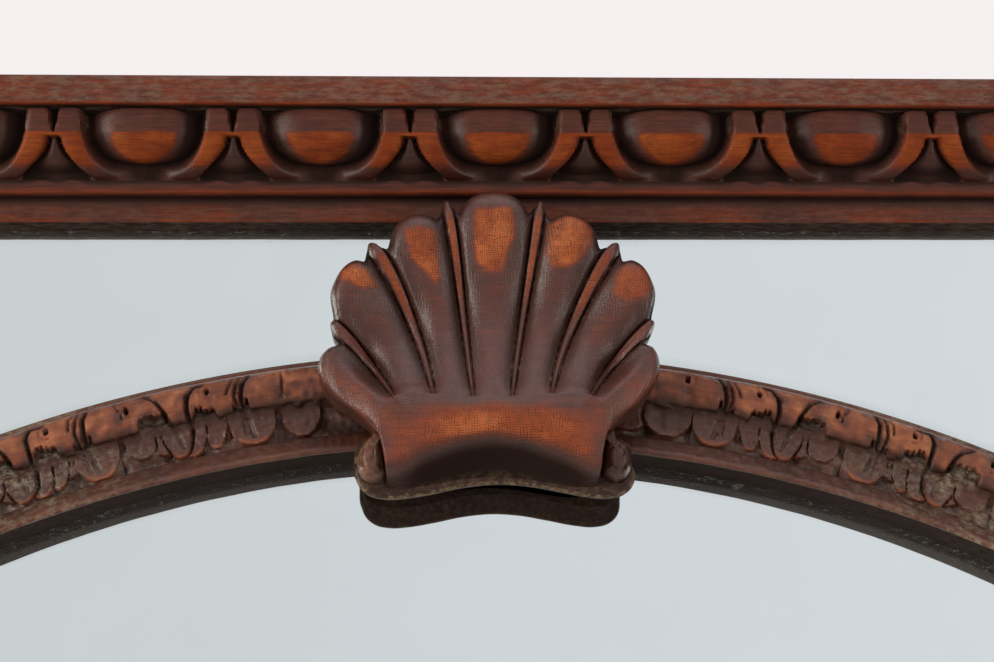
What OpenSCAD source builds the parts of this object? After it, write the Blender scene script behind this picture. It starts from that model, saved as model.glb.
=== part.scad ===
// Pier mirror: a carved outer frame round a border of mirror plates, and an arched inner frame,
// crowned by a carved shell, round the main plate.
// X runs across the mirror, Z up it, and Y from its face to the wall. The wall plane is Y = 0.
// The origin is the middle of the back. Depths called "rise" are measured forward from the glass face.

/* [Outer frame] */
// Width over the outer mouldings
frame_w = 960; // [900:10:1060]
// Height over the outer mouldings
frame_h = 1740; // [1680:10:1900]
// Width of the outer moulding, from its outer side to its sight edge
rail_w = 57.5; // [56:0.5:62]
// Rise of the plain fascia
fascia_rise = 40; // [37:0.5:46]
// Width of the plain fascia
fascia_w = 14; // [10:0.5:16]
// Drop from the fascia to the top of the ovolo
fascia_step = 3.5; // [2:0.5:6]
// Width of the egg-and-dart ovolo
ovolo_w = 27; // [24:0.5:28]
// Rise of the fillet below the ovolo
fillet_rise = 20; // [17:0.5:23]
// Width of the fillet below the ovolo
fillet_w = 6; // [4:0.5:7]
// Rise of the sight edge
sight_rise = 10.5; // [9:0.5:13]
// Rise of the sight band where it meets the fillet
band_rise = 12; // [10:0.5:14]

/* [Inner frame] */
// Border of mirror glass left between the outer and the inner moulding
border_w = 61; // [50:1:80]
// Width of the inner moulding
inner_w = 45; // [42:0.5:50]
// Radius of the arch, to the outer edge of its moulding
arch_r = 568; // [500:2:620]
// Sideways shift of the arch from the middle of the frame, as it was set out by hand
arch_shift = -9.5; // [-12:0.5:12]
// Rise of the inner moulding at its inner arris
arris_rise = 23; // [21:0.5:27]
// Rise of the torus along the outer side of the inner moulding
torus_rise = 20; // [17:0.5:20.5]
// Rise of the outer fillet of the inner moulding
edge_rise = 10; // [8:0.5:12]
// Width of the outer fillet of the inner moulding
edge_w = 2.5; // [2:0.5:4]
// Width of the torus
torus_w = 19; // [16:0.5:21]
// Width of the sloped band next to the inner arris
slope_w = 9; // [7:0.5:11]
// Width of the tongue that stands between the glass plates
tongue_w = 8; // [7:0.5:10]
// Half the length of the plain seat that the crown leaves for the shell
seat_half = 50; // [44:1:56]

/* [Shell] */
// How far the shell's top reaches over the sight edge of the outer frame
shell_over = 4; // [2:0.5:8]
// Width of the shell across its ears
shell_w = 149; // [134:1:158]
// Thickness of the shell at its rim
shell_rim_t = 9; // [7:0.5:11]
// Bulge of the shell's body over its rim
shell_dome = 15; // [10:0.5:18]
// Depth of the hollows between the shell's lobes
lobe_depth = 5; // [3:0.5:6]

/* [Carcase and ground] */
// Width of the carcase stiles and rails
carcase_w = 44; // [42:0.5:45]
// Width of the rebate for the backboards
rebate_w = 12; // [10:0.5:14]
// Thickness of the backboards
board_t = 8; // [7:0.5:10]
// Thickness of the ground bars behind the inner frame
bar_t = 12; // [11:0.5:15]
// Width of the ground bars
bar_w = 60; // [54:1:66]
// Thickness of the carcase tenons
tenon_t = 8; // [7:0.5:9]
// Overlap of one backboard on the next
board_lap = 8; // [5:0.5:12]
// Diameter of the pegs through the carcase corners
peg_d = 8; // [6:0.5:10]

/* [Glass] */
// Thickness of the mirror plates
glass_t = 5; // [4:0.5:6]
// Gap between a plate and the wood beside it
glass_gap = 1; // [0.8:0.1:1.5]
// Gap between two plates that meet
plate_gap = 0.5; // [0.4:0.1:0.8]
// Length of a glazing block
block_l = 40; // [30:1:60]
// Width of a glazing block
block_w = 14; // [10:0.5:18]

/* [Hangers and screws] */
// Thickness of the brass hanging plates
plate_t = 2; // [1.5:0.1:2.5]
// Length of the hanging plate's foot
foot_l = 44; // [40:1:60]
// Width of the hanging plate's foot
foot_w = 28; // [26:0.5:30]
// Radius of the hanging plate's ear
ear_r = 9; // [8:0.5:12]
// Distance of the wall hole beyond the side of the frame
ear_reach = 12; // [10:0.5:18]
// Diameter of the wall hole
wall_hole_d = 5.5; // [5:0.1:6.5]
// Height of the hanging plates above and below the middle
hang_h = 600; // [500:10:640]
// Shank diameter of the wood screws
screw_d = 4; // [3.5:0.1:4.5]
// Head diameter of the wood screws
screw_head_d = 7.5; // [6.5:0.1:8]
// Shank diameter of the nails
nail_d = 2.4; // [2:0.1:3]
// Head diameter of the nails
nail_head_d = 5; // [4:0.1:6]
// Length of the nails
nail_l = 22; // [18:0.5:24]

/* [Hidden] */

// Clearance of a tongue, spline or tenon in its slot, on each side
slot_gap = 0.1;
// Clearance round a screw, nail or peg, on the radius
shank_gap = 0.05;
// Clearance of a backboard in the rebate
board_gap = 0.5;
// How far a cutting shape runs past what it cuts
over = 1;

// Depths, from the wall forward
bar_back = board_t;
glass_back = board_t + bar_t;
face_depth = board_t + bar_t + glass_t;

// Outer frame
half_w = frame_w / 2;
half_h = frame_h / 2;
sight_x = half_w - rail_w;
sight_z = half_h - rail_w;
ovolo_start = fascia_w + 0.5;
ovolo_end = ovolo_start + ovolo_w;
fillet_end = ovolo_end + fillet_w;
ovolo_top = fascia_rise - fascia_step;

// Inner frame: its outer edge, and the arch that closes it
inner_x = sight_x - border_w;
inner_z = sight_z - border_w;
arch_z = inner_z - arch_r;
path_in = inner_w / 2;
torus_mid = edge_w + torus_w / 2;
torus_end = edge_w + torus_w;
hollow_rise = torus_rise - 3;
slope_start = inner_w - slope_w;

// Height on the arch's centre line at which a circle of radius r crosses the upright x
function arch_cross(r, x) = arch_z + sqrt(r * r - (x - arch_shift) * (x - arch_shift));
spring_left = arch_cross(arch_r, -inner_x);
spring_right = arch_cross(arch_r, inner_x);
spring_low = min(spring_left, spring_right);

// Carcase, rebate, bars and glass
carcase_x = half_w - carcase_w;
carcase_z = half_h - carcase_w;
rebate_x = carcase_x + rebate_w;
rebate_z = carcase_z + rebate_w;
glass_x = carcase_x - glass_gap;
glass_z = carcase_z - glass_gap;
bar_x = inner_x - path_in;
bar_z = inner_z - path_in;
border_inset = path_in - tongue_w / 2 - glass_gap;
main_inset = path_in + tongue_w / 2 + glass_gap;
tenon_back = face_depth / 2 - tenon_t / 2;
peg_mid = (carcase_w - rebate_w) / 2;
peg_step = 7;
board_count = 6;
board_h = 2 * rebate_z / board_count;

// Loose tongues in the outer mitres and splines in the inner joints
tongue_t = 4;
tongue_l = 40;
tongue_across = 30;
tongue_rise = 6;
spline_t = 3;
spline_l = 24;
spline_across = 20;
spline_rise = 5;

// Colours
walnut = "#5b2f22";
walnut_dark = "#4a2a20";
deal = "#a5835a";
deal_old = "#8a6b48";
mirror_silver = "#c9d2d5";
brass = "#a98d4f";
iron = "#4c4a48";

// ---- Helpers ----

// Extrudes a flat shape, drawn as the mirror is seen from the front, from one depth to another
module slab(back, front) {
    translate([0, -back, 0])
        rotate([90, 0, 0])
            linear_extrude(front - back)
                children();
}

// Turns something that stands on the XY plane so that it points forward from a depth
module forward(x, depth, z) {
    translate([x, -depth, z])
        rotate([90, 0, 0])
            children();
}

module rect(x0, x1, z0, z1) {
    translate([x0, z0])
        square([x1 - x0, z1 - z0]);
}

module shank_hole(d, l) {
    translate([0, 0, -over])
        cylinder(h = l + over, r = d / 2 + shank_gap, $fn = 32);
}

// Countersunk wood screw, head at the bottom, pointing up
module wood_screw(l) {
    cylinder(h = screw_head_d / 2, d1 = screw_head_d, d2 = screw_d, $fn = 32);
    cylinder(h = l, d = screw_d, $fn = 32);
}

// The hole for that screw, with its countersink
module wood_screw_hole(l) {
    shank_hole(screw_d, l + over);
    cylinder(h = screw_head_d / 2, r1 = screw_head_d / 2 + shank_gap, r2 = screw_d / 2 + shank_gap, $fn = 32);
    translate([0, 0, -over])
        cylinder(h = over, r = screw_head_d / 2 + shank_gap, $fn = 32);
}

// ---- Outer mouldings ----

// Points of a quarter-round curve from one corner to another, bulging forward
function bulge_points(x0, y0, x1, y1, steps) =
    [for (i = [1 : steps - 1])
        let (a = 90 * i / steps)
        [x0 + (x1 - x0) * sin(a), y1 + (y0 - y1) * cos(a)]];

// The same, from a low corner up to a high one
function climb_points(x0, y0, x1, y1, steps) =
    [for (i = [1 : steps - 1])
        let (a = 90 * i / steps)
        [x0 + (x1 - x0) * (1 - cos(a)), y0 + (y1 - y0) * sin(a)]];

function rail_profile() = concat(
    [[0, 0], [0, fascia_rise], [fascia_w, fascia_rise], [fascia_w, ovolo_top - 1.5],
        [ovolo_start, ovolo_top - 1.5], [ovolo_start, ovolo_top]],
    bulge_points(ovolo_start, ovolo_top, ovolo_end, fillet_rise, 8),
    [[ovolo_end, fillet_rise], [fillet_end, fillet_rise - 0.5], [fillet_end, band_rise],
        [rail_w, sight_rise], [rail_w, 0]]);

// A length of outer moulding lying along X, its outer side at Y = 0 and its rise up Z
module rail_bar(l) {
    translate([-l / 2, 0, 0])
        rotate([90, 0, 90])
            linear_extrude(l)
                polygon(rail_profile());
}

// One side of the outer frame, mitred, with its outer side half_across from the middle.
// It is drawn as the top and turned to its place.
module mitred_side(l, half_across, turn) {
    rotate([0, turn, 0])
        intersection() {
            translate([0, -face_depth, half_across])
                rotate([90, 0, 0])
                    mirror([0, 1, 0])
                        rail_bar(l);
            slab(0, face_depth + fascia_rise + over)
                polygon([[-l / 2, half_across], [l / 2, half_across], [l / 2 - rail_w, half_across - rail_w],
                    [rail_w - l / 2, half_across - rail_w]]);
        }
}

module mitre_places() {
    for (sx = [-1, 1])
        for (sz = [-1, 1])
            translate([sx * (half_w - rail_w / 2 + 2), -face_depth - tongue_rise, sz * (half_h - rail_w / 2 + 2)])
                rotate([0, -45 * sx * sz, 0])
                    children();
}

module mitre_tongues() {
    color(deal)
        mitre_places()
            cube([tongue_l, tongue_t, tongue_across], center = true);
}

module mitre_slots() {
    mitre_places()
        cube([tongue_l + 2 * slot_gap, tongue_t + 2 * slot_gap, tongue_across + 2 * slot_gap], center = true);
}

module outer_moulding(l, half_across, turn) {
    color(walnut)
        difference() {
            mitred_side(l, half_across, turn);
            mitre_slots();
            bar_end_holes();
        }
}

module top_moulding() { outer_moulding(frame_w, half_h, 0); }
module bottom_moulding() { outer_moulding(frame_w, half_h, 180); }
module left_moulding() { outer_moulding(frame_h, half_w, -90); }
module right_moulding() { outer_moulding(frame_h, half_w, 90); }

// ---- Carcase ----

module rebate_space() {
    slab(-over, board_t)
        rect(-rebate_x, rebate_x, -rebate_z, rebate_z);
}

// The carcase rails' tenons, or with a gap the open slots that they enter
module tenons(gap) {
    for (s = [-1, 1])
        slab(tenon_back - gap, tenon_back + tenon_t + gap)
            rect(-half_w - gap, half_w + gap, s * (half_h - carcase_w / 2) - carcase_w / 2 - gap,
                s * (half_h - carcase_w / 2) + carcase_w / 2 + gap);
}

module peg_places() {
    for (sx = [-1, 1])
        for (sz = [-1, 1])
            for (k = [-1, 1])
                forward(sx * (half_w - peg_mid + k * peg_step), 0, sz * (half_h - peg_mid + k * peg_step))
                    children();
}

module corner_pegs() {
    color(deal)
        peg_places()
            cylinder(h = face_depth, d = peg_d, $fn = 32);
}

module carcase_cuts() {
    rebate_space();
    peg_places()
        shank_hole(peg_d, face_depth + over);
    slab(bar_back, glass_back)
        bars_outline(slot_gap);
    bar_end_holes();
    nail_holes();
    hanger_cuts();
}

// A carcase rail lies between the stiles and runs through them as a tenon
module carcase_rail(s) {
    color(deal)
        difference() {
            union() {
                slab(0, face_depth)
                    rect(-carcase_x, carcase_x, s * (half_h - carcase_w / 2) - carcase_w / 2,
                        s * (half_h - carcase_w / 2) + carcase_w / 2);
                intersection() {
                    tenons(0);
                    slab(0, face_depth)
                        rect(-half_w, half_w, min(0, s * half_h), max(0, s * half_h));
                }
            }
            carcase_cuts();
        }
}

module carcase_stile(s) {
    color(deal)
        difference() {
            slab(0, face_depth)
                rect(s * (half_w - carcase_w / 2) - carcase_w / 2, s * (half_w - carcase_w / 2) + carcase_w / 2,
                    -half_h, half_h);
            tenons(slot_gap);
            carcase_cuts();
        }
}

module carcase_top_rail() { carcase_rail(1); }
module carcase_bottom_rail() { carcase_rail(-1); }
module carcase_left_stile() { carcase_stile(-1); }
module carcase_right_stile() { carcase_stile(1); }

// ---- Ground bars behind the inner frame ----

module upright_outline(s, gap) {
    rect(s * bar_x - bar_w / 2 - gap, s * bar_x + bar_w / 2 + gap, -rebate_z - gap, rebate_z + gap);
}

module cross_outline(gap) {
    rect(-rebate_x - gap, rebate_x + gap, -bar_z - bar_w / 2 - gap, -bar_z + bar_w / 2 + gap);
}

module bars_outline(gap) {
    upright_outline(-1, gap);
    upright_outline(1, gap);
    cross_outline(gap);
}

// One half of the arched ground, from the crown to the upright bar
module ground_arch_outline(s, past_crown) {
    intersection() {
        translate([arch_shift, arch_z])
            difference() {
                circle(r = arch_r - path_in + bar_w / 2, $fn = 360);
                circle(r = arch_r - path_in - bar_w / 2, $fn = 360);
            }
        rect(min(-s * past_crown, s * (bar_x + bar_w / 2)), max(-s * past_crown, s * (bar_x + bar_w / 2)),
            arch_z, half_h);
    }
}

// Half the thickness of the bars, where they are halved together
lap_depth = bar_back + bar_t / 2;
crown_lap = 25;

module ground_upright(s) {
    color(deal_old)
        difference() {
            slab(bar_back, glass_back)
                upright_outline(s, 0);
            slab(lap_depth - slot_gap, glass_back + over)
                ground_arch_outline(s, 0);
            slab(lap_depth - slot_gap, glass_back + over)
                cross_outline(slot_gap);
            ground_screw_holes();
        }
}

module ground_bar_left() { ground_upright(-1); }
module ground_bar_right() { ground_upright(1); }

module ground_bar_bottom() {
    color(deal_old)
        difference() {
            slab(bar_back, glass_back)
                cross_outline(0);
            for (s = [-1, 1])
                slab(bar_back - over, lap_depth)
                    upright_outline(s, slot_gap);
            ground_screw_holes();
        }
}

// The left half passes in front at the crown, the right half behind
module ground_arch(s) {
    color(deal_old)
        difference() {
            slab(bar_back, glass_back)
                ground_arch_outline(s, crown_lap);
            slab(bar_back - over, lap_depth)
                upright_outline(s, slot_gap);
            slab(s < 0 ? bar_back - over : lap_depth - slot_gap, s < 0 ? lap_depth : glass_back + over)
                rect(-crown_lap - over, crown_lap + slot_gap * 2, 0, half_h);
            ground_screw_holes();
        }
}

module ground_arch_left() { ground_arch(-1); }
module ground_arch_right() { ground_arch(1); }

// Screws through the ends of the bars into the carcase and the outer moulding
end_screw_l = bar_t + glass_t + 7;

module bar_end_places() {
    for (s = [-1, 1]) {
        for (z = [-1, 1])
            forward(s * bar_x, bar_back, z * (rebate_z - rebate_w / 2))
                children();
        forward(s * (rebate_x - rebate_w / 2), bar_back, -bar_z)
            children();
    }
}

module bar_end_holes() {
    bar_end_places()
        wood_screw_hole(end_screw_l);
}

module bar_end_screws() {
    color(iron)
        bar_end_places()
            wood_screw(end_screw_l);
}

// ---- Inner mouldings ----

function inner_profile() = concat(
    [[0, 0], [0, edge_rise], [edge_w, edge_rise]],
    climb_points(edge_w, edge_rise, torus_mid, torus_rise, 6),
    [[torus_mid, torus_rise]],
    bulge_points(torus_mid, torus_rise, torus_end, hollow_rise, 5),
    [[torus_end, hollow_rise], [slope_start, hollow_rise], [inner_w - 2, arris_rise], [inner_w, arris_rise - 0.5], [inner_w - 1, 0],
        [path_in + tongue_w / 2, 0], [path_in + tongue_w / 2, -glass_t], [path_in - tongue_w / 2, -glass_t],
        [path_in - tongue_w / 2, 0]]);

// The mitre between the arch and an upright runs through the crossings of their two edges
function mitre_out(s) = [s * inner_x, arch_cross(arch_r, s * inner_x)];
function mitre_in(s) = [s * (inner_x - inner_w), arch_cross(arch_r - inner_w, s * (inner_x - inner_w))];
function mitre_along(s, k) = mitre_in(s) + (mitre_out(s) - mitre_in(s)) * k;

// Everything above the mitre on one side of the crown, from one depth to another
module above_mitre(s) {
    slab(0, face_depth + fascia_rise)
        polygon([mitre_along(s, 3), mitre_along(s, -2), [0, arch_z], [0, frame_h], [s * frame_w, frame_h]]);
}

module arch_half(s) {
    intersection() {
        translate([arch_shift, -face_depth, arch_z])
            rotate([90, 0, 0])
                rotate_extrude(angle = 360, $fn = 360)
                    translate([arch_r, 0])
                        mirror([1, 0])
                            polygon(inner_profile());
        above_mitre(s);
    }
}

// The plain flat seat for the shell at the crown
module shell_seat(s) {
    slab(face_depth, face_depth + arris_rise)
        intersection() {
            translate([arch_shift, arch_z])
                difference() {
                    circle(r = arch_r - edge_w, $fn = 360);
                    circle(r = arch_r - inner_w + 1, $fn = 360);
                }
            rect(min(0, s * seat_half), max(0, s * seat_half), 0, half_h);
        }
}

module arch_moulding(s) {
    color(walnut)
        difference() {
            union() {
                arch_half(s);
                shell_seat(s);
            }
            inner_spline_slots();
            ground_screw_holes();
            shell_screw_holes();
        }
}

module arch_moulding_left() { arch_moulding(-1); }
module arch_moulding_right() { arch_moulding(1); }

// A straight inner moulding along Z, its outer edge at X = 0 and its inner edge towards -X
module inner_bar(z0, z1) {
    translate([0, -face_depth, z0])
        linear_extrude(z1 - z0)
            mirror([1, 0])
                mirror([0, 1])
                    polygon(inner_profile());
}

module inner_upright(s) {
    color(walnut)
        difference() {
            intersection() {
                mirror([s < 0 ? 1 : 0, 0, 0])
                    translate([inner_x, 0, 0])
                        inner_bar(-inner_z, inner_z);
                slab(0, face_depth + fascia_rise)
                    polygon([mitre_along(s, 1), mitre_along(s, 0), [s * (inner_x - inner_w), inner_w - inner_z],
                        [s * inner_x, -inner_z]]);
            }
            inner_spline_slots();
            ground_screw_holes();
        }
}

module inner_moulding_left() { inner_upright(-1); }
module inner_moulding_right() { inner_upright(1); }

module inner_moulding_bottom() {
    color(walnut)
        difference() {
            intersection() {
                rotate([0, 90, 0])
                    translate([inner_z, 0, 0])
                        inner_bar(-inner_x, inner_x);
                slab(0, face_depth + fascia_rise)
                    polygon([[-inner_x, -inner_z], [inner_x, -inner_z], [inner_x - inner_w, inner_w - inner_z],
                        [inner_w - inner_x, inner_w - inner_z]]);
            }
            inner_spline_slots();
            ground_screw_holes();
        }
}

// Loose splines across the crown joint, the two arch mitres and the two bottom mitres
module spline_places() {
    translate([0, 0, arch_z + sqrt((arch_r - path_in) * (arch_r - path_in) - arch_shift * arch_shift)])
        children();
    for (s = [-1, 1]) {
        let (along = mitre_out(s) - mitre_in(s), mid = mitre_along(s, 0.5))
            translate([mid[0], 0, mid[1]])
                rotate([0, 90 - atan2(along[1], along[0]), 0])
                    children();
        translate([s * bar_x, 0, -bar_z])
            rotate([0, s * 135, 0])
                children();
    }
}

module spline(gap) {
    translate([0, -face_depth - spline_rise, 0])
        cube([spline_l + 2 * gap, spline_t + 2 * gap, spline_across + 2 * gap], center = true);
}

module inner_spline_slots() {
    spline_places()
        spline(slot_gap);
}

module inner_splines() {
    color(deal)
        spline_places()
            spline(0);
}

// Screws from behind, through the ground bars into the tongues of the inner mouldings
ground_screw_l = bar_t + glass_t + 9;
upright_screws = 5;
arch_screws = 3;
cross_screws = 3;

module ground_screw_places() {
    for (s = [-1, 1]) {
        for (i = [0 : upright_screws - 1])
            forward(s * bar_x, bar_back, -bar_z + bar_w + (spring_low + bar_z - 2 * bar_w) * i / (upright_screws - 1))
                children();
        for (i = [1 : arch_screws])
            let (a = s * 30 * i / arch_screws)
                forward(arch_shift + (arch_r - path_in) * sin(a), bar_back, arch_z + (arch_r - path_in) * cos(a))
                    children();
    }
    for (i = [0 : cross_screws - 1])
        forward((i - (cross_screws - 1) / 2) * inner_x / 2, bar_back, -bar_z)
            children();
}

module ground_screw_holes() {
    ground_screw_places()
        wood_screw_hole(ground_screw_l);
    bar_end_holes();
}

module moulding_screws() {
    color(iron)
        ground_screw_places()
            wood_screw(ground_screw_l);
}

// ---- Shell ----

// The carved shell is a surface of rows that run from its lower edge to its scalloped rim.
// Its outline is given for the right half, at places w that count lobes from the middle: the ridges
// between the lobes lie at w = 0.5, 1.5 and 2.5, and the side of the shell at w = 3.5.
rim_knots = [[-20, 133], [20, 133], [50, 115.5], [66.5, 80.5], [63.6, 48]];
rim_bulge = [8, 8, 9.5, 9.5];
hinge_knots = [[-7, 51.5], [7, 51.5], [24, 50], [39.7, 47], [50, 37.5]];
shell_side = 3.5;
lobe_steps = 10;
fan_steps = 14;
base_steps = 8;
// Height of the lower edge at the middle, and how much its ends drop
foot_z = 15;
foot_drop = 8;
// Half-widths row by row from the lower edge to the hinge of the lobes: the roll of the base, which ends
// at w = 3, and the scroll beside it, which lies lower
roll_side = [43, 43, 43, 43, 43, 43.2, 43.6, 44.2, 44.85];
scroll_side = [54, 56, 58.5, 60, 60, 58, 52, 46.5, 50];
roll_w = 3;
scroll_rise = 5;
// Share of the full bulge that each row of the base reaches
base_rise = [0, 0.35, 0.62, 0.8, 0.92, 0.98, 1, 0.97, 0.9];
shell_rise = arris_rise;
// The outline is drawn this wide across its ears, with its top this far above the middle of the fan
drawn_size = [149, 141];
shell_scale = shell_w / drawn_size[0];
shell_z = sight_z + shell_over - drawn_size[1] * shell_scale;

function mix(a, b, k) = a + (b - a) * k;
function lobe_of(w) = min(3, floor(w + 0.5));
function rim_point(w) =
    let (n = lobe_of(w), k = w + 0.5 - n, a = rim_knots[n], b = rim_knots[n + 1], d = (b - a) / norm(b - a))
    mix(a, b, k) + [-d[1], d[0]] * rim_bulge[n] * pow(sin(180 * k), 0.75);
function hinge_point(w) =
    let (n = lobe_of(w), k = w + 0.5 - n)
    mix(hinge_knots[n], hinge_knots[n + 1], k);
function base_point(w, j) =
    let (x = w <= roll_w ? roll_side[j] * w / roll_w
            : mix(roll_side[j], scroll_side[j], (w - roll_w) / (shell_side - roll_w)))
    [x, mix(foot_z - foot_drop * pow(w / shell_side, 2), hinge_point(w)[1], j / base_steps)];

// Rise of the lobes over their hollows, from a narrow ridge through a groove to a round back
function lobe_shape(w) =
    let (k = w + 0.5 - floor(w + 0.5), side = min(k, 1 - k))
    side < 0.07 ? 0.9 - side * 8 : sqrt(sin(180 * k)) ;

function fan_rise(w, k) =
    let (back = shell_rise + shell_rim_t)
    back + shell_dome * (1 - pow(k, 2.2)) * 0.85 + lobe_depth * (lobe_shape(w) - 0.5) * min(1, 0.15 + k * 1.2)
        - (k > 0.93 ? 4 * (k - 0.93) / 0.07 : 0);
function base_rise_at(w, j) = shell_rise + shell_rim_t
    + (w > roll_w && j < base_steps - 1 ? min(scroll_rise, shell_dome * base_rise[j]) : shell_dome * base_rise[j]);

function shell_point(u, j) =
    let (w = abs(u), s = u < 0 ? -1 : 1, p = j <= base_steps
        ? base_point(w, j)
        : mix(hinge_point(w), rim_point(w), (j - base_steps) / fan_steps),
        rise = j <= base_steps ? base_rise_at(w, j) : fan_rise(w, (j - base_steps) / fan_steps))
    [s * p[0] * shell_scale, -(face_depth + rise), shell_z + p[1] * shell_scale];

shell_columns = [for (i = [-shell_side * lobe_steps : shell_side * lobe_steps]) i / lobe_steps];
shell_rows = base_steps + fan_steps;
shell_n = len(shell_columns);

function on_back(p) = [p[0], -(face_depth + shell_rise), p[2]];

// Front surface, then a flat back from the same points, closed round the edge
module shell_body() {
    front = [for (j = [0 : shell_rows]) for (u = shell_columns) shell_point(u, j)];
    back = len(front);
    rim = concat(
        [for (i = [0 : shell_n - 1]) i],
        [for (j = [1 : shell_rows]) j * shell_n + shell_n - 1],
        [for (i = [shell_n - 2 : -1 : 0]) shell_rows * shell_n + i],
        [for (j = [shell_rows - 1 : -1 : 1]) j * shell_n]);
    count = len(rim);
    polyhedron(
        points = concat(front, [for (p = front) on_back(p)]),
        faces = concat(
            [for (j = [0 : shell_rows - 1]) for (i = [0 : shell_n - 2]) for (half = [0, 1])
                let (a = j * shell_n + i, b = a + 1, c = a + shell_n, d = c + 1)
                half == 0 ? [a, c, b] : [b, c, d]],
            [for (j = [0 : shell_rows - 1]) for (i = [0 : shell_n - 2]) for (half = [0, 1])
                let (a = back + j * shell_n + i, b = a + 1, c = a + shell_n, d = c + 1)
                half == 0 ? [a, b, c] : [b, d, c]],
            [for (i = [0 : count - 1]) for (half = [0, 1])
                let (a = rim[i], b = rim[(i + 1) % count], c = back + a, d = back + b)
                half == 0 ? [a, b, c] : [b, d, c]]));
}

// Screws from behind the arch, driven before the glass goes in
shell_screw_l = arris_rise + 8;
shell_screw_sink = 3;

module shell_screw_places() {
    for (a = [-2.6, 2.6])
        for (v = [path_in - tongue_w / 2 - 7, path_in + tongue_w / 2 + 9])
            forward(arch_shift + (arch_r - v) * sin(a) - arch_shift, face_depth + shell_screw_sink,
                arch_z + (arch_r - v) * cos(a))
                children();
}

module shell_screw_holes() {
    shell_screw_places() {
        wood_screw_hole(shell_screw_l);
        translate([0, 0, -shell_screw_sink - over])
            cylinder(h = shell_screw_sink + over, r = screw_head_d / 2 + shank_gap, $fn = 32);
    }
}

module shell_screws() {
    color(iron)
        shell_screw_places()
            wood_screw(shell_screw_l);
}

module shell_crest() {
    color(walnut_dark)
        difference() {
            shell_body();
            shell_screw_places()
                shank_hole(screw_d, shell_screw_l + over);
        }
}

// ---- Mirror plates ----

// The figure enclosed by the inner frame, its outer edge moved inwards by an inset
module inner_figure(inset) {
    intersection() {
        union() {
            translate([arch_shift, arch_z])
                circle(r = arch_r - inset, $fn = 360);
            rect(inset - inner_x, inner_x - inset, inset - inner_z, arch_z);
        }
        rect(inset - inner_x, inner_x - inset, inset - inner_z, inner_z);
    }
}

module plate() {
    color(mirror_silver)
        slab(glass_back, face_depth)
            children();
}

module main_plate() {
    plate()
        inner_figure(main_inset);
}

// The border glass inside a rectangle
module border_part(x0, x1, z0, z1) {
    plate()
        difference() {
            rect(x0, x1, z0, z1);
            inner_figure(border_inset);
        }
}

bottom_joint = border_inset - inner_z;

module spandrel_plate_left() { border_part(-glass_x, -plate_gap / 2, spring_low, glass_z); }
module spandrel_plate_right() { border_part(plate_gap / 2, glass_x, spring_low, glass_z); }
module border_plate_left() { border_part(-glass_x, 0, bottom_joint + plate_gap, spring_low - plate_gap); }
module border_plate_right() { border_part(0, glass_x, bottom_joint + plate_gap, spring_low - plate_gap); }
module border_plate_bottom() { border_part(-glass_x, glass_x, -glass_z, bottom_joint); }

// Blocks glued to the carcase behind the edges of the border plates
side_blocks = 5;
end_blocks = 3;

module glazing_blocks() {
    color(deal)
        slab(bar_back + board_gap, glass_back) {
            for (s = [-1, 1]) {
                for (i = [0 : side_blocks - 1])
                    let (z = spring_low - i * (spring_low + inner_z - 2 * bar_w) / (side_blocks - 1))
                        rect(s * (carcase_x - block_w / 2) - block_w / 2, s * (carcase_x - block_w / 2) + block_w / 2,
                            z - block_l / 2, z + block_l / 2);
                for (i = [0 : end_blocks - 1])
                    let (x = (i - (end_blocks - 1) / 2) * inner_x / 2)
                        rect(x - block_l / 2, x + block_l / 2, s * (carcase_z - block_w / 2) - block_w / 2,
                            s * (carcase_z - block_w / 2) + block_w / 2);
            }
        }
}

// ---- Backboards ----

// Boards lie across the back, each lapped over the one below it
module backboard(i) {
    low = -rebate_z + board_h * (i - 1);
    first = i == 1;
    last = i == board_count;
    color(deal_old)
        difference() {
            union() {
                slab(0, board_t / 2)
                    rect(board_gap - rebate_x, rebate_x - board_gap, low + (first ? board_gap : 0),
                        low + board_h - board_gap);
                slab(board_t / 2, board_t)
                    rect(board_gap - rebate_x, rebate_x - board_gap, low + (first ? board_gap : board_lap),
                        low + board_h + (last ? -board_gap : board_lap - board_gap));
            }
            nail_holes();
        }
}

module backboard_1() { backboard(1); }
module backboard_2() { backboard(2); }
module backboard_3() { backboard(3); }
module backboard_4() { backboard(4); }
module backboard_5() { backboard(5); }
module backboard_6() { backboard(6); }

// Two nails at each end of each board
nail_head_t = 1;

module nail_places() {
    for (s = [-1, 1])
        for (i = [0 : board_count - 1])
            for (k = [0.2, 0.8])
                forward(s * (rebate_x - rebate_w / 2), 0, -rebate_z + board_h * (i + k))
                    children();
}

module nail_holes() {
    nail_places() {
        shank_hole(nail_d, nail_l + shank_gap);
        translate([0, 0, -over])
            cylinder(h = nail_head_t + over, r = nail_head_d / 2 + shank_gap, $fn = 32);
    }
}

module backboard_nails() {
    color(iron)
        nail_places() {
            cylinder(h = nail_l, d = nail_d, $fn = 32);
            cylinder(h = nail_head_t, d = nail_head_d, $fn = 32);
        }
}

// ---- Brass hanging plates ----

hanger_foot_x = half_w - 2 - foot_w;
hanger_screw_x = hanger_foot_x + foot_w / 2;
hanger_screw_l = 18;

// Outline of a hanging plate on the right side, with its foot on the stile and its ear beyond it
module hanger_outline(gap) {
    rect(hanger_foot_x - gap, hanger_foot_x + foot_w + gap, -foot_l / 2 - gap, foot_l / 2 + gap);
    rect(hanger_foot_x, half_w + ear_reach, -ear_r - gap, ear_r + gap);
    translate([half_w + ear_reach, 0])
        circle(r = ear_r, $fn = 48);
}

module hanger_screw_places() {
    for (z = [-foot_l / 4, foot_l / 4])
        forward(hanger_screw_x, 0, z)
            children();
}

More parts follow.
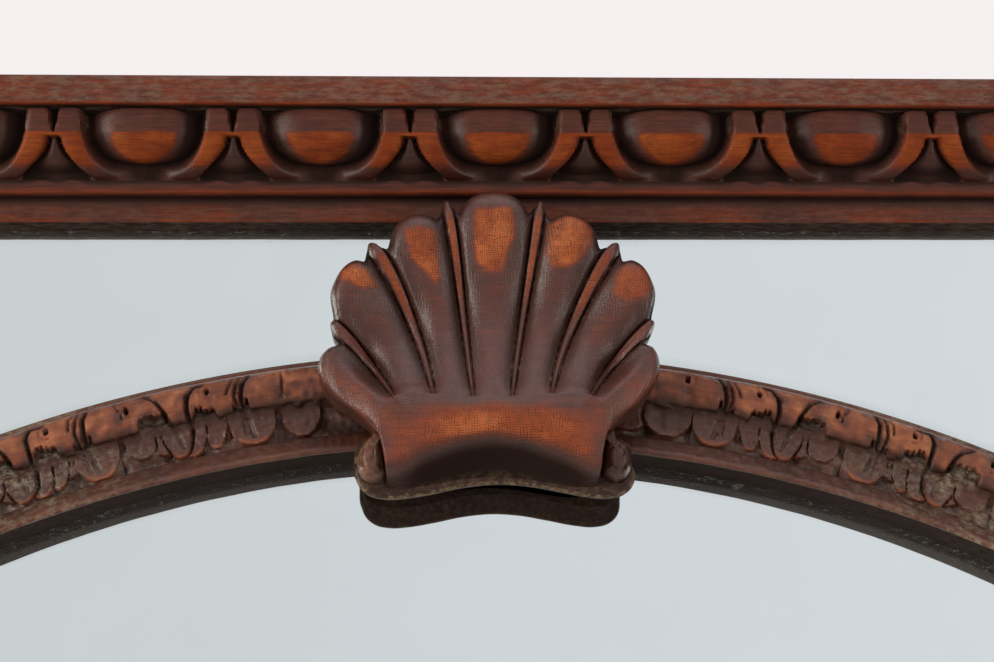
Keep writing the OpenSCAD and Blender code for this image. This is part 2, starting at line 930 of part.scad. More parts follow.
module at_hanger(sx, sz) {
    translate([0, 0, sz * hang_h])
        mirror([sx < 0 ? 1 : 0, 0, 0])
            children();
}

module hanging_plate(sx, sz) {
    color(brass)
        at_hanger(sx, sz)
            difference() {
                slab(0, plate_t)
                    hanger_outline(0);
                hanger_screw_places()
                    wood_screw_hole(hanger_screw_l);
                forward(half_w + ear_reach, -over, 0)
                    cylinder(h = plate_t + 2 * over, d = wall_hole_d, $fn = 32);
            }
}

module hanging_plate_upper_left() { hanging_plate(-1, 1); }
module hanging_plate_upper_right() { hanging_plate(1, 1); }
module hanging_plate_lower_left() { hanging_plate(-1, -1); }
module hanging_plate_lower_right() { hanging_plate(1, -1); }

module hanger_cuts() {
    for (sx = [-1, 1])
        for (sz = [-1, 1])
            at_hanger(sx, sz) {
                slab(-over, plate_t)
                    hanger_outline(slot_gap);
                hanger_screw_places()
                    wood_screw_hole(hanger_screw_l);
            }
}

module hanging_plate_screws() {
    color(iron)
        for (sx = [-1, 1])
            for (sz = [-1, 1])
                at_hanger(sx, sz)
                    hanger_screw_places()
                        wood_screw(hanger_screw_l);
}

top_moulding();
bottom_moulding();
left_moulding();
right_moulding();
mitre_tongues();
carcase_top_rail();
carcase_bottom_rail();
carcase_left_stile();
carcase_right_stile();
corner_pegs();
ground_bar_left();
ground_bar_right();
ground_bar_bottom();
ground_arch_left();
ground_arch_right();
bar_end_screws();
arch_moulding_left();
arch_moulding_right();
inner_moulding_left();
inner_moulding_right();
inner_moulding_bottom();
inner_splines();
moulding_screws();
shell_crest();
shell_screws();
main_plate();
spandrel_plate_left();
spandrel_plate_right();
border_plate_left();
border_plate_right();
border_plate_bottom();
glazing_blocks();
backboard_1();
backboard_2();
backboard_3();
backboard_4();
backboard_5();
backboard_6();
backboard_nails();
hanging_plate_upper_left();
hanging_plate_upper_right();
hanging_plate_lower_left();
hanging_plate_lower_right();
hanging_plate_screws();
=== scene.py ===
import math
from functools import partial
import bpy
import numpy as np
from mathutils import Matrix, Vector


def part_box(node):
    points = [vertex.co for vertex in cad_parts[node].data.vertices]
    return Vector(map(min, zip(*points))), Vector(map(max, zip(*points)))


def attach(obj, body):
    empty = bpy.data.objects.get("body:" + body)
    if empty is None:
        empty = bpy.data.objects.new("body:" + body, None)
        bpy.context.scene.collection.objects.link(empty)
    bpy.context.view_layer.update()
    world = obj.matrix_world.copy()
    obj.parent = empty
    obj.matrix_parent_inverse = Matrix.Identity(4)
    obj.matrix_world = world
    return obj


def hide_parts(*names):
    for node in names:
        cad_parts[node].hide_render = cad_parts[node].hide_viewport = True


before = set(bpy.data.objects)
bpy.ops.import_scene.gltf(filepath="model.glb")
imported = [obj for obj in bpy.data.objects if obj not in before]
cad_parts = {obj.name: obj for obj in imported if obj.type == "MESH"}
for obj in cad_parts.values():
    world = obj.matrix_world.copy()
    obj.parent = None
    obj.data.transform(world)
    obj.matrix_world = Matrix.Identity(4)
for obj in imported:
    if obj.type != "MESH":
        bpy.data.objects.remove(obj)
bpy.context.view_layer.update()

scene = bpy.context.scene
print("frame loaded,", len(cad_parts), "nodes")


# Small helpers. Shapes are worked out in millimetres and turned to metres in makeMesh.

def toLinear(hexColour):
    rgb = [int(hexColour[i:i + 2], 16) / 255 for i in (1, 3, 5)]
    return [c / 12.92 if c <= 0.04045 else ((c + 0.055) / 1.055) ** 2.4 for c in rgb] + [1.0]


def addNode(tree, kind, inputs=None, operation=None, **settings):
    # kind is a node's type, which may leave out ShaderNode, or a node that is there already; an input gets a
    # value, a colour or a socket to join, and a node given to an input stands for its first output in use
    node = kind
    if isinstance(kind, str):
        node = tree.nodes.new(kind if "Node" in kind else "ShaderNode" + kind)
    if operation:
        node.operation = operation
    for key, value in settings.items():
        setattr(node, key, value)
    for key, value in (inputs or {}).items():
        if isinstance(value, bpy.types.Node):
            value = next(socket for socket in value.outputs if socket.enabled)
        if isinstance(value, bpy.types.NodeSocket):
            tree.links.new(value, node.inputs[key])
        elif isinstance(value, str) and value[0] == "#":
            node.inputs[key].default_value = toLinear(value)
        else:
            node.inputs[key].default_value = value
    return node


def smooth(low, high, x):
    t = np.clip((x - low) / (high - low), 0, 1)
    return t * t * (3 - 2 * t)


def most(value, *others):
    for other in others:
        value = np.maximum(value, other)
    return value


def layered(value, *layers):
    # each layer takes the place of what is under it wherever its mask holds
    for mask, layer in layers:
        value = np.where(mask, layer, value)
    return value


def wobble(x, y, seed, size):
    # smooth noise of about -1 to 1 from a few seeded waves, with lumps about size mm across
    rng = np.random.default_rng(seed)
    total = 0 * x
    for turn in range(7):
        angle, phase = rng.uniform(0, math.pi), rng.uniform(0, 2 * math.pi)
        rate = rng.uniform(0.6, 1.6) * math.pi / size
        total = total + np.sin((x * math.cos(angle) + y * math.sin(angle)) * rate + phase)
    return total / 3.5


def makeMesh(name, points, faces, marks, extra=()):
    # marks are rub, dark and dust for each point, where rub partly carries painted light, dark mostly painted
    # shade and dust a painted highlight on the arch's outer edge; faces are rows of four, extra are longer
    # ones
    mesh = bpy.data.meshes.new(name)
    allFaces = [tuple(face) for face in [*faces.tolist(), *extra]]
    mesh.from_pydata((points.reshape(-1, 3) / 1000).tolist(), [], allFaces)
    layer = mesh.attributes.new("marks", "FLOAT_VECTOR", "POINT")
    layer.data.foreach_set("vector", np.ascontiguousarray(marks, dtype=np.float32).ravel())
    mesh.update()
    return mesh


def reliefMesh(name, x, rise, z, marks, faces, extra=()):
    # rise is how far a point stands out from the glass's face
    points = np.stack([x, -(rail["glassFace"] + rise), z], -1)
    return makeMesh(name, points, faces, np.stack(marks, -1), extra)


def gridFaces(rows, cols, wrap=False):
    r = np.arange(rows if wrap else rows - 1)[:, None]
    c = np.arange(cols - 1)[None, :]
    a, b = r * cols + c, ((r + 1) % rows) * cols + c
    return np.stack([a, a + 1, b + 1, b], -1).reshape(-1, 4)


def readRows(items, what, kind=float):
    # a row of three numbers for each item of a mesh
    values = np.zeros(len(items) * 3, kind)
    items.foreach_get(what, values)
    return values.reshape(-1, 3)


def joinMeshes(name, meshes):
    # several meshes in one, with their marks
    points, marks, faces, first = [], [], [], 0
    for mesh in meshes:
        points.append(readRows(mesh.vertices, "co") * 1000)
        marks.append(readRows(mesh.attributes["marks"].data, "vector"))
        faces += [[first + v for v in polygon.vertices] for polygon in mesh.polygons]
        first += len(mesh.vertices)
    return makeMesh(name, np.concatenate(points), np.zeros((0, 4), int), np.concatenate(marks), faces)


def addPiece(name, mesh, node):
    # a closed mesh that came out inside out is turned
    mesh.calc_loop_triangles()
    corners = readRows(mesh.vertices, "co")[readRows(mesh.loop_triangles, "vertices", int)]
    if np.einsum("ij,ij->i", corners[:, 0], np.cross(corners[:, 1], corners[:, 2])).sum() < 0:
        mesh.flip_normals()
    mesh.polygons.foreach_set("use_smooth", [True] * len(mesh.polygons))
    mesh.set_sharp_from_angle(angle=math.radians(52))
    piece = bpy.data.objects.new(name, mesh)
    scene.collection.objects.link(piece)
    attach(piece, "root")
    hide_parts(node)
    print(name, len(mesh.polygons), "faces")


# Camera: from below, looking up at the crown of the arch

cameraSet = {"place": (-0.0255, -0.6527, 0.5435), "lens": 54.3, "sensor": 36, "roll": -0.017,
             "aim": (-61.498, 528.662, 1500)}  # from the picture's middle to where the wall's normal meets it
forward = Vector(cameraSet["aim"]).normalized()
across = Vector((math.cos(cameraSet["roll"]), math.sin(cameraSet["roll"]), 0))
across = (across - forward * forward.dot(across)).normalized()
upward = across.cross(forward)
cameraData = bpy.data.cameras.new("camera")
cameraData.lens = cameraSet["lens"]
cameraData.sensor_width = cameraSet["sensor"]
cameraData.clip_start = 0.01
camera = bpy.data.objects.new("camera", cameraData)
scene.collection.objects.link(camera)
turn = Matrix([(a, -b, -c) for a, b, c in (across, forward, upward)])
camera.matrix_world = Matrix.Translation(cameraSet["place"]) @ turn.to_4x4()
scene.camera = camera
scene.view_settings.view_transform = "Standard"
print("camera placed")


# Sizes in mm of the outer frame and of the inner mouldings, which the glass's worn edges follow too

outside = {"across": 960, "up": 1740}
rail = {"width": 57.5, "fascia": 14.0, "ovoloRise": 36.5, "ovolo": 27.0, "filletRise": 20.0, "pitch": 77.6,
        "glassFace": 25.0, "fineStep": 1.06, "plainStep": 1.7}
band = {"width": 45.0, "edgeRise": 10.0, "torusMid": 12.0, "torusHalf": 9.5, "torusRise": 20.0,
        "hollowRise": 17.0, "slopeStart": 36.0, "arrisRise": 23.0, "tongueFrom": 18.5, "tongueTo": 26.5,
        "tongueDepth": 5.0, "pitch": 66.0, "fineStep": 0.6, "endStep": 0.8, "plainStep": 1.5}
arch = {"radius": 568.0, "shift": -9.5, "centreZ": 183.5, "middle": 545.5, "outerX": 361.5, "bottomZ": 751.5,
        "seatHalf": 50.0}


# Materials

def newMaterial(name):
    # the material, its Principled node, and addNode for its tree
    material = bpy.data.materials.new(name)
    material.use_nodes = True
    tree = material.node_tree
    return material, tree.nodes["Principled BSDF"], partial(addNode, tree)


# the dirt colour is also the colour of painted shade: the dark mark darkens recesses, creases, grooves and
# undersides with it
finish = {"patina": "#48241a", "rubbed": "#702b0a", "bare": "#7a3910", "dirt": "#160e0b", "dust": "#7a6f60",
          "roughness": 0.5, "coat": 0.2, "coatRoughness": 0.28, "bump": 0.3, "dustStretch": 0.35,
          "cleanNear": 0.0, "streaks": 0.32, "patches": 0.16, "crackle": 0.2, "crackSize": 1.1,
          "grainLength": 18.0, "grainWidth": 0.55}
shellFinish = {**finish, "patina": "#4a2720", "rubbed": "#8a4020", "bare": "#9f572f", "dust": "#8a7757",
               "coat": 0.55, "streaks": 0.1, "crackle": 0.62, "dustStretch": 1.0, "grainLength": 30.0,
               "grainWidth": 0.8}
archFinish = {**finish, "patina": "#4c2a20", "rubbed": "#7b4632", "bare": "#8f5a3e", "dust": "#8d8471",
              "coat": 0.4, "streaks": 0.12, "patches": 0.3, "dustStretch": 0.7, "bump": 0.5,
              "cleanNear": 0.13}


def carvedWood(name, look):
    # old walnut, carved and varnished: brown-purple where the varnish is whole, orange where rubbed through
    material, shader, add = newMaterial(name)
    marks = add("Attribute", attribute_name="marks").outputs["Vector"]
    rub, dark, dust = add("SeparateXYZ", {0: marks}).outputs
    along = add("Attribute", attribute_name="grain").outputs["Vector"]
    # grain streaks run along the board
    acrossRate = 500 / look["grainWidth"]
    streakScale = (1000 / look["grainLength"], acrossRate, acrossRate)
    stretched = add("Mapping", {"Vector": along, "Scale": streakScale})
    grain = add("TexNoise", {"Vector": stretched, "Scale": 1.0, "Detail": 3.0, "Roughness": 0.6})
    cloud = add("TexNoise", {"Vector": along, "Scale": 60.0, "Detail": 4.0, "Roughness": 0.6})
    drawnOut = add("Mapping", {"Vector": along, "Scale": (look["dustStretch"], 1, 1)})
    speck = add("TexNoise", {"Vector": drawnOut, "Scale": 420.0, "Detail": 5.0, "Roughness": 0.75})
    # the rubbed patches break up along the grain
    ragged = add("Math", {0: grain, 1: -0.5}, "ADD")
    raggedRub = add("Math", {0: ragged, 1: 0.55, 2: rub}, "MULTIPLY_ADD")
    rubbed = add("MapRange", {0: raggedRub, 1: 0.08, 2: 0.95}, interpolation_type="SMOOTHSTEP")
    # where it is rubbed most the wood is bare and yellower, in clouds
    rubbedMost = add("MapRange", {0: rub, 1: 0.62, 2: 0.92})
    clouded = add("MapRange", {0: cloud, 1: 0.42, 2: 0.6, 3: 0.1, 4: 1.0})
    bareShare = add("Math", {0: rubbedMost, 1: clouded}, "MULTIPLY")
    thin = add("Mix", {0: bareShare, 6: look["rubbed"], 7: look["bare"]}, data_type="RGBA")
    base = add("Mix", {0: rubbed, 6: look["patina"], 7: thin}, data_type="RGBA")
    low, high = 1 - look["streaks"], 1 + 0.7 * look["streaks"]
    streak = add("MapRange", {0: grain, 1: 0.3, 2: 0.7, 3: low, 4: high})
    low, high = 1 - look["patches"], 1 + look["patches"]
    patch = add("MapRange", {0: cloud, 1: 0.3, 2: 0.7, 3: low, 4: high})
    both = add("Math", {0: streak, 1: patch}, "MULTIPLY")
    toned = add("Mix", {0: 1.0, 6: base, 7: both}, data_type="RGBA", blend_type="MULTIPLY")
    # the old varnish has crazed into small squares, which show dark along their edges
    warp = add("TexNoise", {"Vector": along, "Scale": 140.0, "Detail": 3.0}).outputs["Color"]
    warped = add("VectorMath", {0: warp, 1: (0.004,) * 3, 2: along}, "MULTIPLY_ADD")
    crackPlace = add("SeparateXYZ", {0: warped}).outputs
    waves = []
    for axis, share in (("X", 1.0), ("Z", 1.15)):
        rate = share * 2000 * math.pi / look["crackSize"]
        turned = add("Math", {0: crackPlace[axis], 1: rate}, "MULTIPLY")
        waves.append(add("Math", {0: turned}, "SINE"))
    crossed = add("Math", dict(enumerate(waves)), "MAXIMUM")
    cracked = add("MapRange", {0: crossed, 1: 0.45, 2: 1.0})
    low, high = look["crackle"] * 0.3, look["crackle"] * 1.5
    broken = add("MapRange", {0: speck, 1: 0.36, 2: 0.6, 3: low, 4: high})
    crackLine = add("Math", {0: cracked, 1: broken}, "MULTIPLY")
    crackSeen = add("MapRange", {0: rubbed, 3: 0.35, 4: 1.0})
    crackTone = add("Math", {0: crackLine, 1: crackSeen}, "MULTIPLY")
    # the dark mark, which is mostly painted shade with some dirt and black paint, is mixed in with the crack
    # lines
    crackAndDark = add("Math", {0: crackTone, 1: dark}, "ADD", use_clamp=True)
    darkShare = add("Math", {0: crackAndDark, 1: 0.95}, "MULTIPLY", use_clamp=True)
    darkened = add("Mix", {0: darkShare, 6: toned, 7: look["dirt"]}, data_type="RGBA")
    if look["cleanNear"]:
        # hands and cloths have kept the dust out of the carving round the shell
        place = add("TexCoord").outputs["Object"]
        sideways = add("SeparateXYZ", {0: place}).outputs["X"]
        away = add("Math", {0: sideways}, "ABSOLUTE")
        near = look["cleanNear"]
        kept = add("MapRange", {0: away, 1: near, 2: near + 0.1, 3: 0.12, 4: 1.0})
        dust = add("Math", {0: dust, 1: kept}, "MULTIPLY")
    dustNoise = add("MapRange", {0: speck, 1: 0.44, 2: 0.62})
    dustShare = add("Math", {0: dust, 1: dustNoise}, "MULTIPLY", use_clamp=True)
    final = add("Mix", {0: dustShare, 6: darkened, 7: look["dust"]}, data_type="RGBA")
    # painted shade and dirt, both in the dark mark, and dust have no gloss, and bare wood has little
    darkMatt = add("MapRange", {0: dark, 1: 0.5, 2: 0.9})
    bare = add("Math", {0: rubbed, 1: 0.6}, "MULTIPLY")
    worn = add("Math", {0: darkMatt, 1: bare}, "MAXIMUM")
    dull = add("Math", {0: dustShare, 1: worn}, "MAXIMUM", use_clamp=True)
    roughness = add("MapRange", {0: dull, 3: look["roughness"], 4: 0.9})
    gloss = add("MapRange", {0: dull, 3: look["coat"], 4: 0.0})
    bumpGrain = add("Math", {0: grain, 1: speck}, "ADD")
    height = add("Math", {0: bumpGrain, 1: crackLine}, "SUBTRACT")
    bump = add("Bump", {"Height": height, "Strength": look["bump"], "Distance": 0.0003})
    add(shader, {"Base Color": final, "Roughness": roughness, "Normal": bump, "Coat Weight": gloss,
                 "Coat Normal": bump, "Coat Roughness": look["coatRoughness"], "Specular IOR Level": 0.12})
    return material


def plainMaterial(name, colour, roughness, metallic, lumps, spread):
    # one colour, a little uneven: lumps to a metre, and how far its tone goes each way
    material, shader, add = newMaterial(name)
    place = add("TexCoord").outputs["Object"]
    noise = add("TexNoise", {"Vector": place, "Scale": lumps, "Detail": 4.0})
    tone = add("MapRange", {0: noise, 1: 0.3, 2: 0.7, 3: 1 - spread, 4: 1 + spread})
    mixed = add("Mix", {0: 1.0, 6: colour, 7: tone}, data_type="RGBA", blend_type="MULTIPLY")
    add(shader, {"Base Color": mixed, "Roughness": roughness, "Metallic": metallic})
    return material


def sawnDeal(name, pale, late, along, lineSpacing, boards=None):
    # sawn softwood: bands of darker late wood run with the board a few millimetres apart, on a dry fuzzy face
    material, shader, add = newMaterial(name)
    vector = add("TexCoord").outputs["Object"]
    parts = add("SeparateXYZ", {0: vector}).outputs
    across = parts["Z" if along == "X" else "X"]
    tones = []
    if boards:
        # each board has its own tone, and dirt in its joints
        first, height = boards
        raised = add("Math", {0: parts["Z"], 1: first}, "SUBTRACT")
        count = add("Math", {0: raised, 1: height}, "DIVIDE")
        number = add("Math", {0: count}, "FLOOR")
        chance = add("TexWhiteNoise", {"W": number}, noise_dimensions="1D").outputs
        tones.append(add("MapRange", {0: chance["Value"], 3: 0.78, 4: 1.14}))
        apart = {0: chance["Color"], 1: (3, 3, 3), 2: vector}
        vector = add("VectorMath", apart, "MULTIPLY_ADD")
        rest = add("Math", {0: count}, "FRACT")
        fromMiddle = add("Math", {0: rest, 1: 0.5}, "SUBTRACT")
        far = add("Math", {0: fromMiddle}, "ABSOLUTE")
        low, high = 0.5 - 0.0022 / height, 0.5 - 0.0006 / height
        tones.append(add("MapRange", {0: far, 1: low, 2: high, 3: 1.0, 4: 0.2}))
    slow = (1.6, 13, 13) if along == "X" else (13, 13, 1.6)
    fast = (28, 900, 900) if along == "X" else (900, 900, 28)
    flowPlace = add("Mapping", {"Vector": vector, "Scale": slow})
    flow = add("TexNoise", {"Vector": flowPlace, "Scale": 1.0, "Detail": 2.0, "Roughness": 0.4})
    fibrePlace = add("Mapping", {"Vector": vector, "Scale": fast})
    fibre = add("TexNoise", {"Vector": fibrePlace, "Scale": 1.0, "Detail": 3.0})
    spaced = add("Math", {0: across, 1: 2 * math.pi / lineSpacing}, "MULTIPLY")
    turned = add("Math", {0: flow, 1: 70.0, 2: spaced}, "MULTIPLY_ADD")
    wave = add("Math", {0: turned}, "SINE")
    share = add("MapRange", {0: wave, 1: -0.4, 2: 1.0, 3: 0.0, 4: 0.75}, interpolation_type="SMOOTHSTEP")
    banded = add("Mix", {0: share, 6: pale, 7: late}, data_type="RGBA")
    fuzz = add("MapRange", {0: fibre, 1: 0.3, 2: 0.7, 3: 0.84, 4: 1.12})
    for tone in tones:
        fuzz = add("Math", {0: fuzz, 1: tone}, "MULTIPLY")
    toned = add("Mix", {0: 1.0, 6: banded, 7: fuzz}, data_type="RGBA", blend_type="MULTIPLY")
    bump = add("Bump", {"Height": fibre, "Strength": 0.3, "Distance": 0.0004})
    add(shader, {"Base Color": toned, "Normal": bump, "Roughness": 0.8, "Specular IOR Level": 0.2})
    return material


glass = {"clear": "#f1f4f4", "veil": "#7d827c", "fleck": "#5f6761", "roughness": 0.015, "archFrom": 0.61,
         "besideBand": (0.0305, 0.0225), "besideRails": (0.4145, 0.4225), "besideEnds": (0.8045, 0.8125)}


def oldMirror():
    # silvered plate glass about 200 years old: clear in the middle, grey and flecked along the frame, where
    # damp and dust got in
    material = plainMaterial("old silvered glass", glass["clear"], glass["roughness"], 1.0, 25, 0.012)
    tree = material.node_tree
    add = partial(addNode, tree)
    shader = tree.nodes["Principled BSDF"]
    clear = shader.inputs["Base Color"].links[0].from_socket
    place = add("TexCoord").outputs["Object"]
    parts = add("SeparateXYZ", {0: place}).outputs
    centre = (-arch["shift"] / 1000, rail["glassFace"] / 1000, -arch["centreZ"] / 1000)
    centred = add("VectorMath", {0: place, 1: centre}, "ADD")
    radius = add("VectorMath", {0: centred}, "LENGTH")
    across = add("Math", {0: parts["X"]}, "ABSOLUTE")
    up = add("Math", {0: parts["Z"]}, "ABSOLUTE")
    onArch = add("Math", {0: parts["Z"], 1: glass["archFrom"]}, "GREATER_THAN")
    near = []
    low, high = glass["besideBand"]
    for distance, middle in ((radius, arch["middle"]), (across, arch["outerX"] - band["width"] / 2)):
        off = add("Math", {0: distance, 1: middle / 1000}, "SUBTRACT")
        gap = add("Math", {0: off}, "ABSOLUTE")
        near.append(add("MapRange", {0: gap, 1: low, 2: high, 3: 0.0, 4: 1.0}))
    inner = add("Mix", {0: onArch, 2: near[1], 3: near[0]})
    sides = add("MapRange", {0: across, 1: glass["besideRails"][0], 2: glass["besideRails"][1]})
    ends = add("MapRange", {0: up, 1: glass["besideEnds"][0], 2: glass["besideEnds"][1]})
    outer = add("Math", {0: sides, 1: ends}, "MAXIMUM")
    edge = add("Math", {0: outer, 1: inner}, "MAXIMUM")
    # flecks about a millimetre long, drawn out sideways by the cloth that wiped them
    drawnOut = add("Mapping", {"Vector": place, "Scale": (0.4, 1, 1)})
    fleck = add("TexNoise", {"Vector": drawnOut, "Scale": 900.0, "Detail": 4.0, "Roughness": 0.65})
    cloud = add("TexNoise", {"Vector": place, "Scale": 26.0, "Detail": 3.0})
    uneven = add("MapRange", {0: cloud, 1: 0.35, 2: 0.65, 3: 0.35, 4: 1.0})
    reach = add("Math", {0: edge, 1: uneven}, "MULTIPLY")
    level = add("Math", {0: reach, 1: 0.2, 2: fleck}, "MULTIPLY_ADD")
    grain = add("MapRange", {0: level, 1: 0.72, 2: 0.9})
    bounded = add("MapRange", {0: edge, 1: 0.0, 2: 0.15})
    flecks = add("Math", {0: bounded, 1: grain}, "MULTIPLY")
    veiled = add("MapRange", {0: reach, 3: 0.0, 4: 0.35})
    greyed = add("Mix", {0: veiled, 6: clear, 7: glass["veil"]}, data_type="RGBA")
    flecked = add("Mix", {0: flecks, 6: greyed, 7: glass["fleck"]}, data_type="RGBA")
    # a haze that the cloth couldn't reach lies a few millimetres off the wood; the pale band it makes is also
    # a painted reflection of the frame's lit edge
    far = add("MapRange", {0: reach, 1: 0.0, 2: 0.15, 3: 0.0, 4: 1.0})
    off = add("MapRange", {0: edge, 1: 0.74, 2: 0.55, 3: 0.28, 4: 1.0}, interpolation_type="SMOOTHSTEP")
    hazeAndReflection = add("Math", {0: far, 1: off}, "MULTIPLY")
    hazeAndReflectionMetal = add("MapRange", {0: hazeAndReflection, 3: 1.0, 4: 0.93})
    metal = add("MapRange", {0: flecks, 3: hazeAndReflectionMetal, 4: 0.5})
    rough = add("MapRange", {0: flecks, 3: glass["roughness"], 4: 0.4})
    add(shader, {"Base Color": flecked, "Metallic": metal, "Roughness": rough})
    return material


frameWood = carvedWood("varnished walnut, carved", finish)
shellWood = carvedWood("varnished walnut, shell", shellFinish)
archWood = carvedWood("varnished walnut, arch", archFinish)
mirror = oldMirror()
dealColours, backingColours = ("#b3956b", "#94704a"), ("#8b7052", "#6b5139")
boardLow = [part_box(f"backboard_{i}")[0][2] for i in (2, 3)]
dealUpright = sawnDeal("sawn deal, grain upright", *dealColours, "Z", 0.006)
dealAcross = sawnDeal("sawn deal, grain across", *dealColours, "X", 0.006)
backingUpright = sawnDeal("darkened deal, grain upright", *backingColours, "Z", 0.007)
backingAcross = sawnDeal("darkened deal, lapped boards", *backingColours, "X", 0.0075,
                         (boardLow[0], boardLow[1] - boardLow[0]))
# brass gone brown-yellow, with a soft shine
brass = plainMaterial("dull brass sheet", "#a68a4c", 0.42, 1.0, 300, 0.15)
# iron with its blue gone: dark grey heads that catch little light
iron = plainMaterial("dark iron screw", "#5a5550", 0.5, 1.0, 900, 0.25)

# the first word found in a node's name settles its material
byWord = [("screw", iron), ("nail", iron), ("hanging", brass), ("plate", mirror), ("stile", dealUpright),
          ("glazing", dealUpright), ("carcase", dealAcross), ("tongues", dealAcross), ("pegs", dealAcross),
          ("splines", dealAcross), ("bar_left", backingUpright), ("bar_right", backingUpright),
          ("ground", backingAcross), ("backboard", backingAcross), ("", frameWood)]
for name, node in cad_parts.items():
    node.data.materials.clear()
    node.data.materials.append(next(material for word, material in byWord if word in name))
print("materials made")


# Outer mouldings: egg and dart cut into the ovolo

egg = {"halfWidth": 24.3, "reach": 31.0, "middle": 7, "openHalf": 26.6, "openReach": 31.9, "depth": 8.2,
       "rubHalf": 15.4, "rubReach": 26.6}


def plainRows(zone, *places):
    # rows of a section that no carving moves
    return [(place, rise, 0, 0, zone) for place, rise in places]


def arcRows(middle, base, wide, high, firstTurn, steps, zone, lean=1.0):
    # a quarter of an ellipse, carved along its normal; a lean under 1 turns the cut more towards the wall
    rows = []
    for i in range(steps + 1):
        a = math.pi / 2 * (firstTurn + i / steps)
        across, out = math.sin(a) / wide, math.cos(a) / high
        size = math.hypot(across, out)
        place, rise = middle + wide * math.sin(a), base + high * math.cos(a)
        rows.append((place, rise, lean * across / size, out / size, zone))
    return rows


def railRows(fine):
    # the section of the moulding, from its outer side round to its back: u from the outer edge, rise, the
    # direction that carving cuts in, and a zone, which is 1 on the ovolo
    first = rail["fascia"] + 0.5
    last = first + rail["ovolo"]
    fillet = [(0.5, 20.1), (1.1, 20.05), (1.8, 20.0), (3, 19.9), (5.2, 19.7), (5.8, 19.3), (6, 18.6),
              (5.8, 15), (5.5, 12.3), (6.1, 12), (10, 11.4), (14, 10.7), (15.4, 10.5), (15.85, 10.2)]
    rows = plainRows(0, (0, 0), (0, 20), (0, 39.2), (0.25, 39.75), (0.9, 40), (4, 40), (8, 40), (12, 40),
                     (13.2, 39.95), (13.75, 39.7), (14, 39.1), (13.9, 37), (13.4, 33.5), (13.9, 31.5),
                     (14.4, 33))
    rows += arcRows(first, rail["filletRise"], rail["ovolo"], rail["ovoloRise"] - rail["filletRise"], 0,
                    40 if fine else 22, 1)
    rows += plainRows(0, *[(last + u, rise) for u, rise in fillet])
    rows += plainRows(0, *[(rail["width"], rise) for rise in (9.6, 5, 0)], (30, 0))
    return np.array(rows, float)


def seenHeight(u, rise):
    # how far down the ovolo a point looks from below, in mm: the carving was set out this way
    return (u - rail["fascia"] - 0.5) * 0.906 + (rail["ovoloRise"] - rise) * 0.42


def dartWidth(t):
    return 3.3 + 9.6 * (np.maximum(t - 12, 0) / 17) ** 1.8


def dartCarving(cut, d, t, half):
    # the dart between two collars, d from its middle, with the notch cut in over it
    share = smooth(0.3, -0.9, d - half) * smooth(11.6, 12.6, t)
    bell = np.clip(1 - (d / np.maximum(half - 1.4, 0.5)) ** 2, 0, 1)
    cut = cut * (1 - share) + (-6.5 + 4.0 * np.sqrt(bell)) * share
    notch = smooth(0.9, -0.7, d - 1.9 * (1 - t / 11.0)) * smooth(10.8, 9.0, t)
    return cut * (1 - notch) - 4.5 * notch, share, bell, notch


def eggCarving(s, t, seed):
    # s from the egg's middle, t down the ovolo; returns the cut, rub, dark and dust
    half = rail["pitch"] / 2
    sway = (1 - (s / half) ** 2).clip(0, 1)
    s = s + 0.5 * wobble(s, t, seed, 30) * sway
    x = np.abs(s)

    def oval(halfWidth, reach):
        down = np.maximum(t - egg["middle"], 0) / (reach - egg["middle"])
        return np.sqrt((x / halfWidth) ** 2 + down ** 2)

    opening = (x / egg["openHalf"]) ** 2.4 + (np.maximum(t, 0) / egg["openReach"]) ** 2.4
    collar = smooth(0.93, 1.05, opening)
    cut = -egg["depth"] * np.minimum(oval(egg["halfWidth"], egg["reach"]), 1) ** 2.7 * (1 - collar)
    d = half - x
    dartHalf = np.where(t > 12, dartWidth(t), 0)
    cut, onDart, bell, notch = dartCarving(cut, d, t, dartHalf)
    roundOver = -0.8 * smooth(1.25, 1.0, opening) - 0.7 * smooth(3.0, 0.3, d - dartHalf) * (t > 12)
    cut = cut + np.where((opening > 1) & (d > dartHalf), roundOver, 0)
    cut = cut + 0.18 * wobble(s, t * 1.5, seed + 9, 7) * sway
    # orange from a sharp line down over the bellies: rubbed varnish, and painted light on the lower bellies
    # that face down and forward, the line being the painted edge of that light
    belly = oval(egg["rubHalf"], egg["rubReach"])
    line = smooth(10.2, 10.8, t + 0.25 * wobble(s, t, seed + 3, 20))
    eggRubAndLight = line * smooth(1.06, 0.78, belly + 0.05 * wobble(s, t, seed + 25, 8))
    collarRubAndLight = line * (1 - 0.4 * smooth(18, 25, t)) * smooth(27.5, 24.0, t) * collar * (1 - onDart)
    rub = np.clip(most(eggRubAndLight, collarRubAndLight * 0.95 * smooth(1.02, 1.12, opening)), 0, 1) + 0.12
    # painted shade: the flanks round each egg are darkened, the right ones more and the upper left less, as
    # the light comes from the left; so are the dart's sides, the notch, the collars' lower ends and the top
    # of the ovolo under the fascia
    leftSide = 1 - 0.3 * smooth(14, 8, t)
    flank = smooth(0.9, 1.25, belly) * smooth(1.03, 0.95, opening) * np.where(s > 0, 1.08, leftSide)
    dark = most(flank * 0.86, onDart * (0.7 - 0.25 * bell ** 3), notch * 0.9)
    dark = np.clip(dark + smooth(24, 29, t) * 0.35 * collar + smooth(1.0, -0.5, t) * 0.8, 0, 1)
    dust = 0.4 * smooth(0.9, 0.97, opening) * smooth(1.06, 1.0, opening) * smooth(12, 5, t)
    return cut, rub, dark, dust


